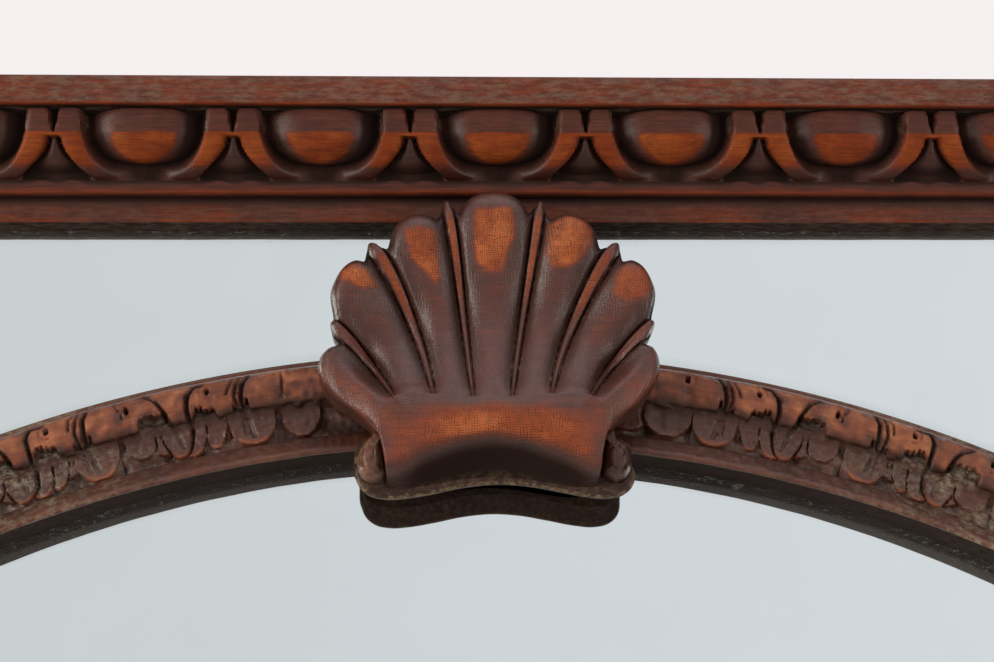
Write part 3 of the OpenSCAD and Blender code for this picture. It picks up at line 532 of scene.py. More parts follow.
def cornerCarving(s, u, t, inner, corner):
    # a leaf fills the corner, its veins leaning in to the mitre
    out = np.abs(s) - inner
    half = dartWidth(t)
    cut, dart, bell, notch = dartCarving(0 * s, out, t, half)
    vein = np.abs(((corner - u - np.abs(s) + 2.5) / 6.2) % 1 - 0.5) * 2
    leaf = smooth(9, 12, out - half) * smooth(29.5, 27, t) * smooth(0.5, 2.5, t)
    cut = cut - leaf * (0.4 + 1.8 * smooth(0.72, 0.95, vein))
    cut = cut - 2.2 * smooth(0.8, 0.0, np.abs(out - half - 9)) * (t < 29)
    # rubbed varnish and painted light below the same sharp line as on the eggs; the dark is painted shade in
    # the cuts and low down
    rub = 0.12 + 0.6 * smooth(10.2, 10.8, t) * smooth(27.5, 24.5, t) * (1 - dart)
    dark = np.clip(smooth(-1.6, -5, cut) + smooth(24, 29, t) * 0.5, 0, 1)
    return cut, rub, dark, 0 * s


def railMarks(u, rise, s):
    # rub, dark and dust of the plain members: fascia, fillet, sight band and back edge
    fascia, sight, back = u < 14.2, (u > 47.6) & (rise > 10), (u > 57.2) & (rise < 9.8)
    fillet = (u > 41.6) & (rise > 18.4)
    sightEdge = 0.3 * smooth(54.5, 57.3, u) * smooth(-0.1, 0.3, wobble(s, u * 2, 9, 70))
    rub = layered(0.16, (fascia, 0.36 + 0.14 * wobble(s, u * 4, 5, 50) + 0.3 * smooth(12.4, 13.6, u)),
                  (fillet, 0.08 + 0.5 * smooth(44.6, 47.3, u)),
                  (sight, 0.23 + 0.16 * wobble(s, u * 2, 8, 45) + sightEdge))
    # painted shade in the quirk under the fascia, the step under the fillet and along the fillet's upper
    # edge, where it runs in scallops, the fillet showing highest on each side of a dart; the back edge is
    # painted black
    fromDart = rail["pitch"] / 2 - np.abs(s)
    scallop = 2.0 - 1.8 * np.exp(-((fromDart - 7) / 4.0) ** 2) * (fromDart > -2)
    dark = layered(0, ((u < 14.6) & (u > 13.3) & (rise < 39), 0.95),
                   ((u > 46.5) & (u < 48.5) & (rise < 18), 0.8),
                   (fillet & (u < 45), 0.75 * smooth(scallop + 0.5, scallop - 0.5, u - 41.5)), (back, 0.9))
    dust = layered(0, (sight, 0.12), (u < 13.6, 0.3), (back, 0.2))
    return rub, dark, dust


def railUnit(name, rows, s0, s1, step, seed, mitre=0):
    # one length of moulding from s0 to s1; with a mitre of 1 or -1 that end runs out to the corner
    u, rise, nu, nr, onOvolo = rows.T[:, :, None]
    cols = max(2, int(round(abs(s1 - s0) / step)) + 1)
    end = mitre * (abs(s1) - u) if mitre else s1 + 0 * u
    s = s0 + (end - s0) * np.linspace(0, 1, cols)[None, :]
    t = seenHeight(u, rise) + 0 * s
    if mitre:
        cut, *carved = cornerCarving(s, u, t, abs(s0), abs(s1))
    else:
        cut, *carved = eggCarving(s, t, seed)
    # the cut runs out where the ovolo meets the fillet
    edge = onOvolo.copy()
    edge[onOvolo > 0] = np.minimum(1, np.linspace(1, 0, int(onOvolo.sum())) / 0.03)
    marks = [np.where(onOvolo > 0, mark, plain) for mark, plain in zip(carved, railMarks(u + 0 * s, rise, s))]
    extra = [(np.arange(len(rows)) * cols + cols - 1).tolist()] if mitre else []
    cut = cut * edge
    faces = gridFaces(len(rows), cols, wrap=True)
    return reliefMesh(name, s, rise + cut * nr, -(u + cut * nu), marks, faces, extra)


def instanceTree(name, bend):
    # sets copies of the unit pieces along a line, joins the end pieces, bends them to the arch if asked, and
    # sets the material
    tree = bpy.data.node_groups.new(name, "GeometryNodeTree")
    add = partial(addNode, tree)
    sockets = {"Ends": "Geometry", "Units": "Collection", "Count": "Int", "First": "Float", "Pitch": "Float",
               "Kinds": "Int", "Seed": "Int", "Hand Waver": "Float", "Material": "Material"}
    if bend:
        sockets.update(dict.fromkeys(("Radius", "Middle Radius", "Centre X", "Centre Z", "Side"), "Float"))
    for label, kind in sockets.items():
        tree.interface.new_socket(name=label, in_out="INPUT", socket_type="NodeSocket" + kind)
    tree.interface.new_socket(name="Geometry", in_out="OUTPUT", socket_type="NodeSocketGeometry")
    given = add("NodeGroupInput").outputs
    start = add("CombineXYZ", {"X": given["First"]})
    step = add("CombineXYZ", {"X": given["Pitch"]})
    line = add("GeometryNodeMeshLine", {"Count": given["Count"], "Start Location": start, "Offset": step})
    units = add("GeometryNodeCollectionInfo",
                {"Collection": given["Units"], "Separate Children": True, "Reset Children": True})
    kinds = add("FunctionNodeRandomValue", {5: given["Kinds"], "Seed": given["Seed"]}, data_type="INT")
    placed = add("GeometryNodeInstanceOnPoints",
                 {"Points": line, "Instance": units, "Instance Index": kinds, "Pick Instance": True})
    real = add("GeometryNodeRealizeInstances", {"Geometry": placed})
    joined = add("GeometryNodeJoinGeometry", {"Geometry": real})
    add(joined, {"Geometry": given["Ends"]})
    merged = add("GeometryNodeMergeByDistance", {"Geometry": joined, "Distance": 0.00003})
    place = add("GeometryNodeInputPosition")
    stored = add("GeometryNodeStoreNamedAttribute", {"Geometry": merged, "Name": "grain", "Value": place},
                 data_type="FLOAT_VECTOR", domain="POINT")
    # no straight line of a carved piece is quite straight
    waver = add("TexNoise", {"Vector": place, "Scale": 38.0, "Detail": 2.0}).outputs["Color"]
    centred = add("VectorMath", {0: waver, 1: (0.5, 0.5, 0.5)}, "SUBTRACT")
    front = add("SeparateXYZ", {0: place}).outputs
    held = add("MapRange", {0: front["Y"], 1: -0.026, 2: -0.036, 3: 0.0, 4: 1.0})
    inFromEdge = add("MapRange", {0: front["Z"], 1: -0.0006, 2: -0.004, 3: 0.0, 4: 1.0})
    free = add("Math", {0: held, 1: inFromEdge}, "MULTIPLY")
    amount = add("Math", {0: free, 1: given["Hand Waver"]}, "MULTIPLY")
    offset = add("VectorMath", {0: centred, "Scale": amount}, "SCALE")
    shaped = add("GeometryNodeSetPosition", {"Geometry": stored, "Offset": offset})
    if bend:
        parts = add("SeparateXYZ", {0: add("GeometryNodeInputPosition")}).outputs
        radius = add("Math", {0: given["Radius"], 1: parts["Z"]}, "ADD")
        angle = add("Math", {0: parts["X"], 1: given["Middle Radius"]}, "DIVIDE")
        sine = add("Math", {0: angle}, "SINE")
        cosine = add("Math", {0: angle}, "COSINE")
        sided = add("Math", {0: sine, 1: given["Side"]}, "MULTIPLY")
        newX = add("Math", {0: sided, 1: radius, 2: given["Centre X"]}, "MULTIPLY_ADD")
        newZ = add("Math", {0: cosine, 1: radius, 2: given["Centre Z"]}, "MULTIPLY_ADD")
        bent = add("CombineXYZ", {"X": newX, "Y": parts["Y"], "Z": newZ})
        shaped = add("GeometryNodeSetPosition", {"Geometry": shaped, "Position": bent})
    painted = add("GeometryNodeSetMaterial", {"Geometry": shaped, "Material": given["Material"]})
    add("NodeGroupOutput", {"Geometry": painted})
    return tree


def unitCollection(name, meshes):
    group = bpy.data.collections.new(name)
    for i, mesh in enumerate(meshes):
        group.objects.link(bpy.data.objects.new(f"{name}{i}", mesh))
    return group


def runTree(tree, name, ends, units, count, first, pitch, settings):
    # runs the tree on the end pieces and the units between them, and gives back a plain mesh
    holder = bpy.data.objects.new(name + "Holder", joinMeshes(name + "Ends", ends))
    scene.collection.objects.link(holder)
    modifier = holder.modifiers.new("repeat", "NODES")
    modifier.node_group = tree
    sockets = {item.name: item.identifier for item in tree.interface.items_tree if item.in_out == "INPUT"}
    given = {"Units": units, "Count": count, "First": first / 1000, "Pitch": pitch / 1000, **settings}
    for key, value in given.items():
        modifier[sockets[key]] = value
    holder.update_tag()
    view = bpy.context.evaluated_depsgraph_get()
    mesh = bpy.data.meshes.new_from_object(holder.evaluated_get(view))
    bpy.data.objects.remove(holder)
    mesh.name = name
    return mesh


def turnOut(mesh, turnDegrees, out):
    # from the top of the frame to its own side, out mm from the middle
    turned = Matrix.Rotation(math.radians(turnDegrees), 4, "Y")
    mesh.transform(turned @ Matrix.Translation((0, 0, out / 1000)))


eggTree = instanceTree("egg and dart run", False)
pitch = rail["pitch"]
sections = {}
for name, fine, step, kinds, seed in (("fineEggs", True, rail["fineStep"], 4, 40),
                                      ("plainEggs", False, rail["plainStep"], 2, 60)):
    rows = railRows(fine)
    eggs = [railUnit(f"egg{i}", rows, -pitch / 2, pitch / 2, step, seed + i) for i in range(kinds)]
    sections[fine] = (rows, step * 1.3, unitCollection(name, eggs), kinds - 1)

for name, turnDegrees, count, shift in (("top", 0, 11, 2.8), ("bottom", 180, 11, 0), ("left", -90, 21, 0),
                                        ("right", 90, 21, 0)):
    flat = turnDegrees % 180 == 0
    length, out = (outside["across"], outside["up"] / 2) if flat else (outside["up"], outside["across"] / 2)
    rows, step, units, kinds = sections[name == "top"]
    first = shift - (count - 1) / 2 * pitch
    corners = [railUnit("corner", rows, first - pitch / 2, length / 2, step, 1, mitre=-1),
               railUnit("corner", rows, first + (count - 0.5) * pitch, length / 2, step, 1, mitre=1)]
    mesh = runTree(eggTree, name + "Rail", corners, units, count, first, pitch,
                   {"Kinds": kinds, "Seed": 4 + count, "Hand Waver": 0.0005, "Material": frameWood})
    turnOut(mesh, turnDegrees, out)
    addPiece(name + "Rail", mesh, name + "_moulding")


# Inner mouldings: worn leaf carving on the torus, round tongues in the hollow under it

# one repeat of the carving, from the middle of one tongue group to the next, in mm: eyes are places along and
# across, tongues a place along, half width and reach, grooves a line, width and depth, teeth a place and top,
# bites a start, end and top
leafCuts = {"eyes": [(26.0, 8.5), (60.0, 9.0)],
            "tongues": [(21.6, 5.0, 6.8), (25.6, 4.6, 9.6), (9.5, 9.6, 11.0), (47.8, 6.4, 8.0),
                        (34.6, 6.6, 11.4), (41.2, 6.2, 10.4), (56.2, 6.8, 7.2)],
            "grooves": [([(8.5, 3.0), (11.0, 8.0), (12.5, 16.0), (12.0, 24.0), (9.5, 31.0)], 1.4, 2.4),
                        ([(11.5, 3.0), (14.0, 8.0), (15.2, 14.0), (14.6, 21.0), (13.0, 30.0)], 1.1, 1.8),
                        ([(14.5, 3.2), (17.0, 7.5), (18.2, 12.0)], 0.9, 1.4),
                        ([(28.0, 4.0), (32.5, 4.6), (35.0, 9.0), (35.2, 16.0), (35.0, 24.0), (36.4, 33.0)],
                         1.4, 2.6),
                        ([(52.0, 4.6), (47.5, 8.0), (44.5, 13.0), (42.5, 20.0), (40.4, 30.0)], 1.3, 2.2),
                        ([(63.5, 4.0), (62.0, 9.0), (62.8, 13.0)], 0.8, 1.0)],
            "teeth": [(10.5, 15.5), (16.5, 17.0)],
            "bites": [(24.0, 33.0, 15.6), (43.6, 55.6, 14.2)]}
noCuts = {key: [] for key in leafCuts}
firstCutsRight = {**noCuts, "eyes": [(90.0, 8.0)], "tongues": [(66.5, 10.0, 9.0), (84.5, 10.4, 9.6)]}
firstCutsLeft = {**noCuts, "tongues": [(72.5, 8.6, 10.6)],
                 "grooves": [([(80.0, 3.4), (78.6, 9.0), (79.6, 17.0)], 0.8, 1.2)]}


def leafRows(fine):
    # the section as in railRows: v from the outer edge, with the zones 1 torus, 2 hollow, 3 slope and 4 flank
    middle, half, low = band["torusMid"], band["torusHalf"], band["hollowRise"]
    steps = {"arc": 16, "hollow": 22, "slope": 6} if fine else {"arc": 8, "hollow": 11, "slope": 3}
    rows = plainRows(0, (0, 0), (0, 5), (0, 9.4), (0.25, 9.85), (0.7, 10), (1.8, 10), (2.3, 9.8), (2.6, 9.3))
    edge, top = band["edgeRise"], band["torusRise"]
    rows += arcRows(middle, edge, half, top - edge, -1, steps["arc"], 1)[1:]
    rows += arcRows(middle, low, half, top - low, 0, steps["arc"], 1, 0.5)[1:]
    for share in np.linspace(0, 1, steps["hollow"] + 1)[1:]:
        rows.append((middle + half + 14.3 * share, low, 0, 1, 2))
    for share in np.linspace(0, 1, steps["slope"] + 1):
        rows.append((band["slopeStart"] + 6.6 * share, low + 0.3 + 5.4 * share, 0, 1, 3))
    rows += plainRows(3, (43.6, band["arrisRise"]), (44.4, 22.95), (44.85, 22.65), (44.98, 22.0))
    rows += plainRows(4, (44.99, 21.6), (44.7, 13), (44, 0))
    tongueFrom, tongueTo, back = band["tongueFrom"], band["tongueTo"], -band["tongueDepth"]
    rows += plainRows(0, (tongueTo, 0), (tongueTo, back), (tongueFrom, back), (tongueFrom, 0))
    return np.array(rows, float)


def nearLine(s, v, points):
    # distance from a chain of straight stretches
    best = np.full(np.shape(s), 1e9)
    for (s0, v0), (s1, v1) in zip(points, points[1:]):
        ds, dv = s1 - s0, v1 - v0
        k = np.clip(((s - s0) * ds + (v - v0) * dv) / (ds * ds + dv * dv), 0, 1)
        best = np.minimum(best, np.hypot(s - s0 - k * ds, v - v0 - k * dv))
    return best


def leafCarving(s, v, zone, cuts, seed, window, worn):
    # the window is 0 at the ends of a piece, so that neighbours meet; worn under 1 has less dust
    rng = np.random.default_rng(seed)
    torus, hollow, slope, flank = [zone == number for number in (1, 2, 3, 4)]

    def jog(size):
        return rng.uniform(-size, size)

    def shake(number, size):
        return wobble(s, v, seed + number, size) * window

    sw = s + 0.5 * shake(1, 12)
    vw = v + 0.4 * wobble(v, s, seed + 2, 9) * window
    cut = -0.35 * (1 + wobble(s, v, seed + 3, 10)) * window * smooth(2.6, 6.0, v)
    ground = -3.6 + 0.9 * wobble(s, v, seed + 27, 6)
    tongue, rim, dirt, teeth, bites, eyes = ground, 0 * s, 0 * s, 0 * s, 0 * s, 0 * s
    for at, half, reach in cuts["tongues"]:
        at, half = at + jog(0.7), half * (1 + jog(0.06))
        rho = np.hypot((sw - at) / half, np.maximum(vw - 24, 0) / reach)
        top = -1.0 - 1.2 * (1 - np.minimum(rho, 1) ** 2) - 0.7 * np.abs((sw - at) / half)
        # each scale is cut in over the last
        cutIn = np.minimum(tongue, -2.2 - 1.6 * smooth(1.12, 1.02, rho))
        tongue = most(np.where(rho < 1.12, cutIn, tongue), ground + (top - ground) * smooth(1.04, 0.95, rho))
        rim = most(rim, smooth(0.7, 0.94, rho) * smooth(1.05, 0.98, rho) * smooth(30, 33, vw))
    for points, width, depth in cuts["grooves"]:
        d = nearLine(sw, vw, [(a + jog(0.5), b + jog(0.4)) for a, b in points])
        cut = cut - 0.9 * depth * smooth(width, width * 0.2, d) * smooth(3.5, 7.5, v)
        dirt = most(dirt, (0.3 + 0.25 * depth) * smooth(width * 1.1, width * 0.35, d) * smooth(3.0, 5.0, v))
        tongue = tongue - 0.55 * depth * smooth(width, width * 0.3, d) * smooth(33.5, 28, v)
    for at, top in cuts["teeth"]:
        at, top = at + jog(0.5), top + jog(0.8)
        lean, wide = jog(0.25), 0.2 + jog(0.12)
        half = wide + (0.13 + jog(0.06)) * np.maximum(vw - top, 0)
        tooth = smooth(0.5, -0.3, np.abs(sw - at - lean * (vw - top)) - half)
        teeth = most(teeth, tooth * smooth(top - 0.5, top + 1.2, vw) * (0.75 + jog(0.25)))
    # where the roll's lower edge is bitten back in small ragged teeth, down to the ground of the hollow
    for start, end, top in cuts["bites"]:
        width, top = 2.5 + jog(0.4), top + jog(0.6)
        zig = top + 3.0 * np.abs((sw - start) / width % 1 - 0.5) + 0.9 * wobble(s, v, seed + 37, 5)
        bitten = smooth(start - 0.8, start + 0.6, sw) * smooth(end + 0.8, end - 0.6, sw)
        bites = most(bites, smooth(-0.4, 0.9, vw - zig) * bitten)
    cut = cut - (3.4 * teeth + 4.2 * bites)
    for at, across in cuts["eyes"]:
        at, across = at + jog(0.6), across + jog(0.5)
        eyes = most(eyes, smooth(1.15, 0.7, np.hypot((sw - at) / 1.05, (vw - across) / 1.8)))
        ring = np.abs(np.hypot((sw - at - 0.4) / 2.9, (vw - across - 0.3) / 3.6) - 1)
        cut = cut - 0.7 * smooth(0.16, 0.04, ring) * (sw > at - 1.0)
    cut = cut - 4.0 * eyes - 1.1 * smooth(19.0, 21.5, v) * (1 + 1.4 * shake(5, 5))
    hollowCut = tongue * smooth(36.0, 35.2, v) * smooth(21.4, 23.5, v) - 1.2 * smooth(23.5, 21.4, v)
    cut = layered(0, (torus, cut), (hollow, hollowCut))
    roughness = (0.2 * shake(7, 2.6) + 0.2 * shake(29, 5)) * smooth(2.6, 5.0, v) * smooth(43.5, 42, v)
    cut = cut + roughness * (torus | hollow | slope)
    # the roll is rubbed all over, the scales on their rims and the slope along its arris
    torusRub = 0.58 + 0.2 * smooth(13, 6, v) + 0.26 * shake(11, 9) + 0.3 * shake(33, 4)
    torusRub = torusRub * smooth(2.8, 5.0, v) * smooth(22.5, 17.0, v) * smooth(-3.4, -1.0, cut)
    arrisRub = 0.34 * smooth(42.4, 43.4, v) * smooth(44.3, 43.8, v) * (0.8 + 0.5 * shake(13, 25))
    rub = layered(0.1, (torus, torusRub), (hollow, 0.14 + 0.6 * rim * worn), (slope, 0.14 + arrisRub),
                  ((zone == 0) & (v < 2.2), 0.35))
    # stains in patches, with painted shade on the underside of the torus; the dark marks below are painted
    # shade in the cuts and grooves, in the hollow under the torus and round the outer fillet, the slope is
    # darker towards the hollow, and the inner flank is painted black
    stainAndShade = 0.2 * smooth(0.1, 0.9, wobble(s * 0.6, v, seed + 31, 6)) * window + 0.6 * smooth(15.5, 20.5, v)
    torusDark = most(smooth(-1.5, -3.4, cut) * (1 - 0.35 * bites), stainAndShade, dirt)
    shade = (0.26 + 0.16 * smooth(29, 22, v)) * (1 - rim)
    hollowDark = most(smooth(-2.6, -4.4, cut) * 0.7, shade, dirt * 0.6)
    edgeDark = layered(0.7, (v > 0.6, 0.0), (v > 2.1, 0.9))
    dark = layered(0, ((zone == 0) & (v < 3), edgeDark), (torus, torusDark), (hollow, hollowDark),
                   (slope, (0.12 + 0.3 * smooth(41, 37, v)) * smooth(44.3, 43.5, v)), (flank, 0.95))
    bloom = 0.3 * smooth(0.3, 0.9, wobble(s, v, seed + 19, 7)) * window
    # the pale line along the outer fillet, given as dust there, is a painted highlight on its edge
    dust = layered(0, (hollow, 0.5 + 0.45 * shake(17, 9)),
                   (slope, 0.42 + 0.3 * wobble(s, v * 2, seed + 35, 8) * window),
                   (torus, 0.75 * teeth + 0.85 * bites + bloom), ((zone == 0) & (v > 0.6) & (v < 2.1), 0.85),
                   (slope & (v > 44.0), 1.0), (flank, 0.1))
    return cut, np.clip(rub, 0, 1), dark, np.clip(dust, 0, 1) * np.where((zone < 4) & (v < 44), worn, 1)


def leafPiece(name, rows, s0, s1, step, cuts, seed, origin=0.0, cap=None, seat=-1000.0, worn=1.0):
    # s0 and s1 are numbers or one value a row; cuts are placed from the origin, and a flat seat ends at seat
    v, rise, nv, nr, zone = rows.T[:, :, None]
    start, end = [np.reshape(np.zeros(len(rows)) + value, (-1, 1)) for value in (s0, s1)]
    cols = max(2, int(round(abs(end - start).max() / step)) + 1)
    s = start + (end - start) * np.linspace(0, 1, cols)[None, :]
    window = smooth(0, 3, s - start) * smooth(0, 3, end - s)
    cut, *marks = leafCarving(s - origin, v + 0 * s, zone + 0 * s, cuts, seed, window, worn)
    onSeat = smooth(seat + 1.2, seat, s) * (zone > 0) * (zone < 4) * (v > 2.6) * (v < 43)
    across = v + cut * nv * (1 - onSeat)
    rise = (rise + cut * nr) * (1 - onSeat) + band["arrisRise"] * onSeat
    ring = np.arange(len(rows)) * cols
    extra = {"start": [ring[::-1].tolist()], "end": [(ring + cols - 1).tolist()]}.get(cap, [])
    return reliefMesh(name, s, rise, -across, marks, gridFaces(len(rows), cols, wrap=True), extra)


def archMitre(side):
    # the two ends of the mitre with the upright, where the edges of the arch and the upright cross
    ends = []
    for back in (0, band["width"]):
        x, r = side * (arch["outerX"] - back), arch["radius"] - back
        ends.append((x, arch["centreZ"] + math.sqrt(r * r - (x - arch["shift"]) ** 2)))
    return ends


def mitreAngle(side, v):
    # how far round the arch each row of the section meets the mitre
    (ax, az), (bx, bz) = archMitre(side)
    dx, dz, fx, fz = bx - ax, bz - az, ax - arch["shift"], az - arch["centreZ"]
    r = arch["radius"] - v
    a, b, c = dx * dx + dz * dz, 2 * (fx * dx + fz * dz), fx * fx + fz * fz - r * r
    t = (-b + np.array([1, -1])[:, None] * np.sqrt(b * b - 4 * a * c)[None, :]) / (2 * a)
    t = np.where(np.abs(t[0] - 0.5) < np.abs(t[1] - 0.5), t[0], t[1])
    return np.arctan2(side * (fx + dx * t), fz + dz * t)


archTree = instanceTree("leaf carving on an arch", True)
barTree = instanceTree("leaf carving on a bar", False)
fineLeaf, plainLeaf = leafRows(True), leafRows(False)
leafPitch = band["pitch"]
repeats = []
for name, rows, step, kinds, seed in (("fineLeaves", fineLeaf, band["fineStep"], 3, 80),
                                      ("plainLeaves", plainLeaf, band["plainStep"], 2, 90)):
    leaves = [leafPiece(f"leaf{i}", rows, 0, leafPitch, step, leafCuts, seed + i) for i in range(kinds)]
    repeats.append(unitCollection(name, leaves))
fineLeaves, plainLeaves = repeats
leafSettings = {"Seed": 3, "Hand Waver": 0.0007, "Material": archWood}

for side, word, firstCuts, firstS, count in ((1, "Right", firstCutsRight, 95.0, 4),
                                             (-1, "Left", firstCutsLeft, 84.0, 3)):
    v = fineLeaf[:, 0]
    crown = -side * np.arcsin(arch["shift"] / (arch["radius"] - v)) * arch["middle"]
    mitre = mitreAngle(side, v) * arch["middle"]
    lastS = firstS + count * leafPitch
    ends = [leafPiece("crown", fineLeaf, crown, firstS, band["endStep"], firstCuts, 7 + side, cap="start",
                      seat=arch["seatHalf"] - side * arch["shift"], worn=0.25),
            leafPiece("mitre", fineLeaf, lastS, mitre, band["endStep"], leafCuts, 9 + side, lastS, cap="end")]
    mesh = runTree(archTree, "arch" + word, ends, fineLeaves, count, firstS, leafPitch,
                   {**leafSettings, "Kinds": 2, "Radius": arch["radius"] / 1000,
                    "Middle Radius": arch["middle"] / 1000, "Centre X": arch["shift"] / 1000,
                    "Centre Z": arch["centreZ"] / 1000, "Side": float(side)})
    addPiece("arch" + word, mesh, "arch_moulding_" + word.lower())


def innerBar(name, node, halfAcross, turnDegrees, start, end, count):
    # a straight inner moulding between two mitres, given by where each row starts and ends
    first = (start.max() + end.min()) / 2 - count * leafPitch / 2
    last = first + count * leafPitch
    ends = [leafPiece("start", plainLeaf, start, first, band["plainStep"], noCuts, 5, cap="start"),
            leafPiece("end", plainLeaf, last, end, band["plainStep"], noCuts, 6, cap="end")]
    mesh = runTree(barTree, name, ends, plainLeaves, count, first, leafPitch,
                   {**leafSettings, "Kinds": 1, "Seed": 11})
    turnOut(mesh, turnDegrees, halfAcross)
    addPiece(name, mesh, node)


v = plainLeaf[:, 0]
for side, word in ((1, "Right"), (-1, "Left")):
    (ax, az), (bx, bz) = archMitre(side)
    top = az + (bz - az) * v / band["width"]
    foot = arch["bottomZ"] - v
    start, end = (-top, foot) if side > 0 else (-foot, top)
    innerBar("upright" + word, "inner_moulding_" + word.lower(), arch["outerX"], 90 * side, start, end, 19)
end = arch["outerX"] - v
innerBar("innerFoot", "inner_moulding_bottom", arch["bottomZ"], 180, -end, end, 9)


# The shell on the crown

shell = {"backRise": 23.0, "topRise": 46.9, "steps": 54, "fanRows": 108, "baseRows": 54, "wallRows": 7,
         "footHalf": 43.0, "footBevel": 8.0, "edgeRound": 1.5, "lobes": 3.5, "screwTipRise": 34.7}
# lobe number, then across and up: the numbers run from 0 at the middle of the shell, with a ridge at each
# half, to 3.5 at the waist
rimLine = np.array([(0, 0, 816.4), (0.15, 7.5, 814.9), (0.28, 12.9, 810.6), (0.35, 15.2, 806.8),
                    (0.42, 17.6, 809.4), (0.48, 19.8, 811.6), (0.53, 21.4, 811.2), (0.57, 22.3, 808.4),
                    (0.62, 23.8, 804.8),
                    (0.74, 28.6, 805.4), (0.9, 34.0, 805.5), (1.08, 39.6, 802.8), (1.26, 44.0, 796.8),
                    (1.35, 45.8, 790.0), (1.41, 48.2, 790.8), (1.47, 51.4, 792.0), (1.53, 53.8, 791.4),
                    (1.57, 54.6, 788.0), (1.63, 55.2, 784.6), (1.75, 59.5, 784.2), (1.9, 63.8, 781.4),
                    (2.08, 67.4, 775.0), (2.26, 68.8, 766.8), (2.36, 67.2, 758.8), (2.43, 67.4, 757.4),
                    (2.5, 68.2, 754.8), (2.55, 67.2, 751.4), (2.63, 64.4, 747.0), (2.74, 68.6, 744.6),
                    (2.88, 71.6, 740.6), (3.0, 72.2, 735.4), (3.12, 70.6, 729.6), (3.24, 67.0, 724.2),
                    (3.36, 61.4, 719.6), (3.44, 56.4, 716.4), (3.5, 52.0, 712.9)])
hingeLine = np.array([(0, 0, 720.8), (0.5, 7.9, 720.4), (1.5, 24.1, 721.6), (2.5, 40.0, 720.4),
                      (3.0, 44.4, 714.8), (3.5, 46.2, 705.6)])
footLine = ([0, 12, 25, 34, 40, 43], [690.8, 689.9, 687.4, 686.2, 686.0, 686.4])
# how far each line of the fan bows inwards
bowLine = ([0, 0.5, 1.0, 1.5, 2.0, 2.5, 3.0, 3.5], [0, 0.6, 2.6, 4.2, 3.8, 3.0, 1.4, 0])
# rise along the middle of a lobe, foot to rim: hollow low down, swelling under the rim, then rolling over
crownLine = np.array([(0, 45.2), (0.04, 44.2), (0.09, 42.4), (0.15, 40.8), (0.22, 39.2), (0.3, 37.6),
                      (0.38, 36.4), (0.47, 36.2), (0.59, 37.5), (0.71, 40.0), (0.8, 41.8), (0.87, 42.5),
                      (0.918, 42.1), (0.954, 40.7), (0.982, 38.0), (1.0, 34.2)])
earLine = np.array([(0, 46.6), (0.15, 45.7), (0.35, 44.0), (0.6, 42.4), (0.8, 41.2), (0.9, 39.8),
                    (0.96, 37.8), (1.0, 34.6)])
# rise up the base: cove, lip, round face and crest
baseLine = np.array([(0, 30.8), (0.076, 31.4), (0.178, 33.2), (0.28, 36.4), (0.368, 40.4), (0.445, 43.8),
                     (0.52, 45.8), (0.62, 46.75), (0.76, 46.9), (0.88, 46.4), (1.0, 45.2)])
ridgePlaces = [0, 0.05, 0.12, 0.22, 0.35, 0.5, 0.85, 0.96, 1.0]
ridge = {"half": ([0, 0.1, 0.5, 0.85, 0.95, 1.0], [0.5, 0.9, 1.7, 2.5, 2.3, 1.5]),
         "depth": (ridgePlaces, [0.8, 2.8, 4.4, 5.0, 6.8, 8.8, 9.4, 6.8, 3.0]),
         "stand": (ridgePlaces, [0.5, 1.5, 2.3, 2.8, 4.0, 5.2, 6.4, 5.6, 4.0])}
# patches of wear as outlines, across and up: along the waist, where the varnish has thinned, and, each with
# its rub, where it is rubbed through
sCurves = [[(-73, 735), (-61, 721), (-49, 712), (-44, 700), (-44, 687), (-33, 689), (-31, 703), (-38, 712),
            (-50, 720), (-62, 733)],
           [(70, 731), (58, 719), (47, 711), (41, 700), (40, 687), (29, 690), (27, 703), (34, 712), (46, 719),
            (60, 732)]]
thinnedPatches = [[(-4.7, 779), (3.3, 779), (6.7, 770), (6, 746), (-2.9, 746), (-4.7, 763)],
                  [(-28.4, 779), (-22.5, 775), (-19.3, 760), (-20.5, 752), (-25.4, 758), (-27.8, 770)],
                  [(-52.7, 770.5), (-48.1, 769.7), (-42.8, 758.6), (-44.4, 751.6), (-49.3, 757.2)],
                  [(16.8, 753), (23.1, 753), (22.6, 745), (17.4, 745)],
                  [(51.9, 765.4), (59.1, 764), (48, 752.8), (37.1, 740.4), (34.7, 745.9), (43, 758.4)]]
rubbedPatches = [(0.84, [(-7.7, 805.4), (8.3, 805.7), (9.1, 799.9), (8.3, 790.5), (5.5, 786.2), (3.2, 779.8),
                         (-0.2, 777), (-4.1, 778.4), (-7.7, 783.4), (-8.7, 795.6)]),
                 (0.84, [(-38.3, 794.8), (-31.7, 797), (-25.1, 794.8), (-23.4, 788.4), (-23.2, 775.6),
                         (-25.2, 772.8), (-28.4, 777), (-32.4, 779.8), (-35.4, 783.4)]),
                 (0.84, [(-65.7, 777), (-60.5, 779.9), (-54, 777.7), (-49.7, 772.8), (-49.3, 768.6),
                         (-53.9, 769.3), (-59.1, 770), (-63.7, 771.4)]),
                 (0.84, [(23.5, 798.5), (31, 802.1), (39, 800.7), (42.1, 795.6), (41.1, 787.7), (37, 781.9),
                         (30.2, 779.1), (24.3, 779.8), (22.1, 784.8)]),
                 (0.6, [(52, 777), (56.8, 779.8), (63.4, 779.1), (66.1, 774.1), (66.2, 768.5), (62.7, 764.5),
                        (57.4, 763.6), (51.5, 765), (49.5, 769.9)])]
# where the screws from behind end, from the CAD's own numbers: across and up
screwTips = []
for turnDegrees in (-2.6, 2.6):
    for v in (11.5, 35.5):
        r, a = arch["radius"] - v, math.radians(turnDegrees)
        screwTips.append((r * math.sin(a), arch["centreZ"] + r * math.cos(a)))


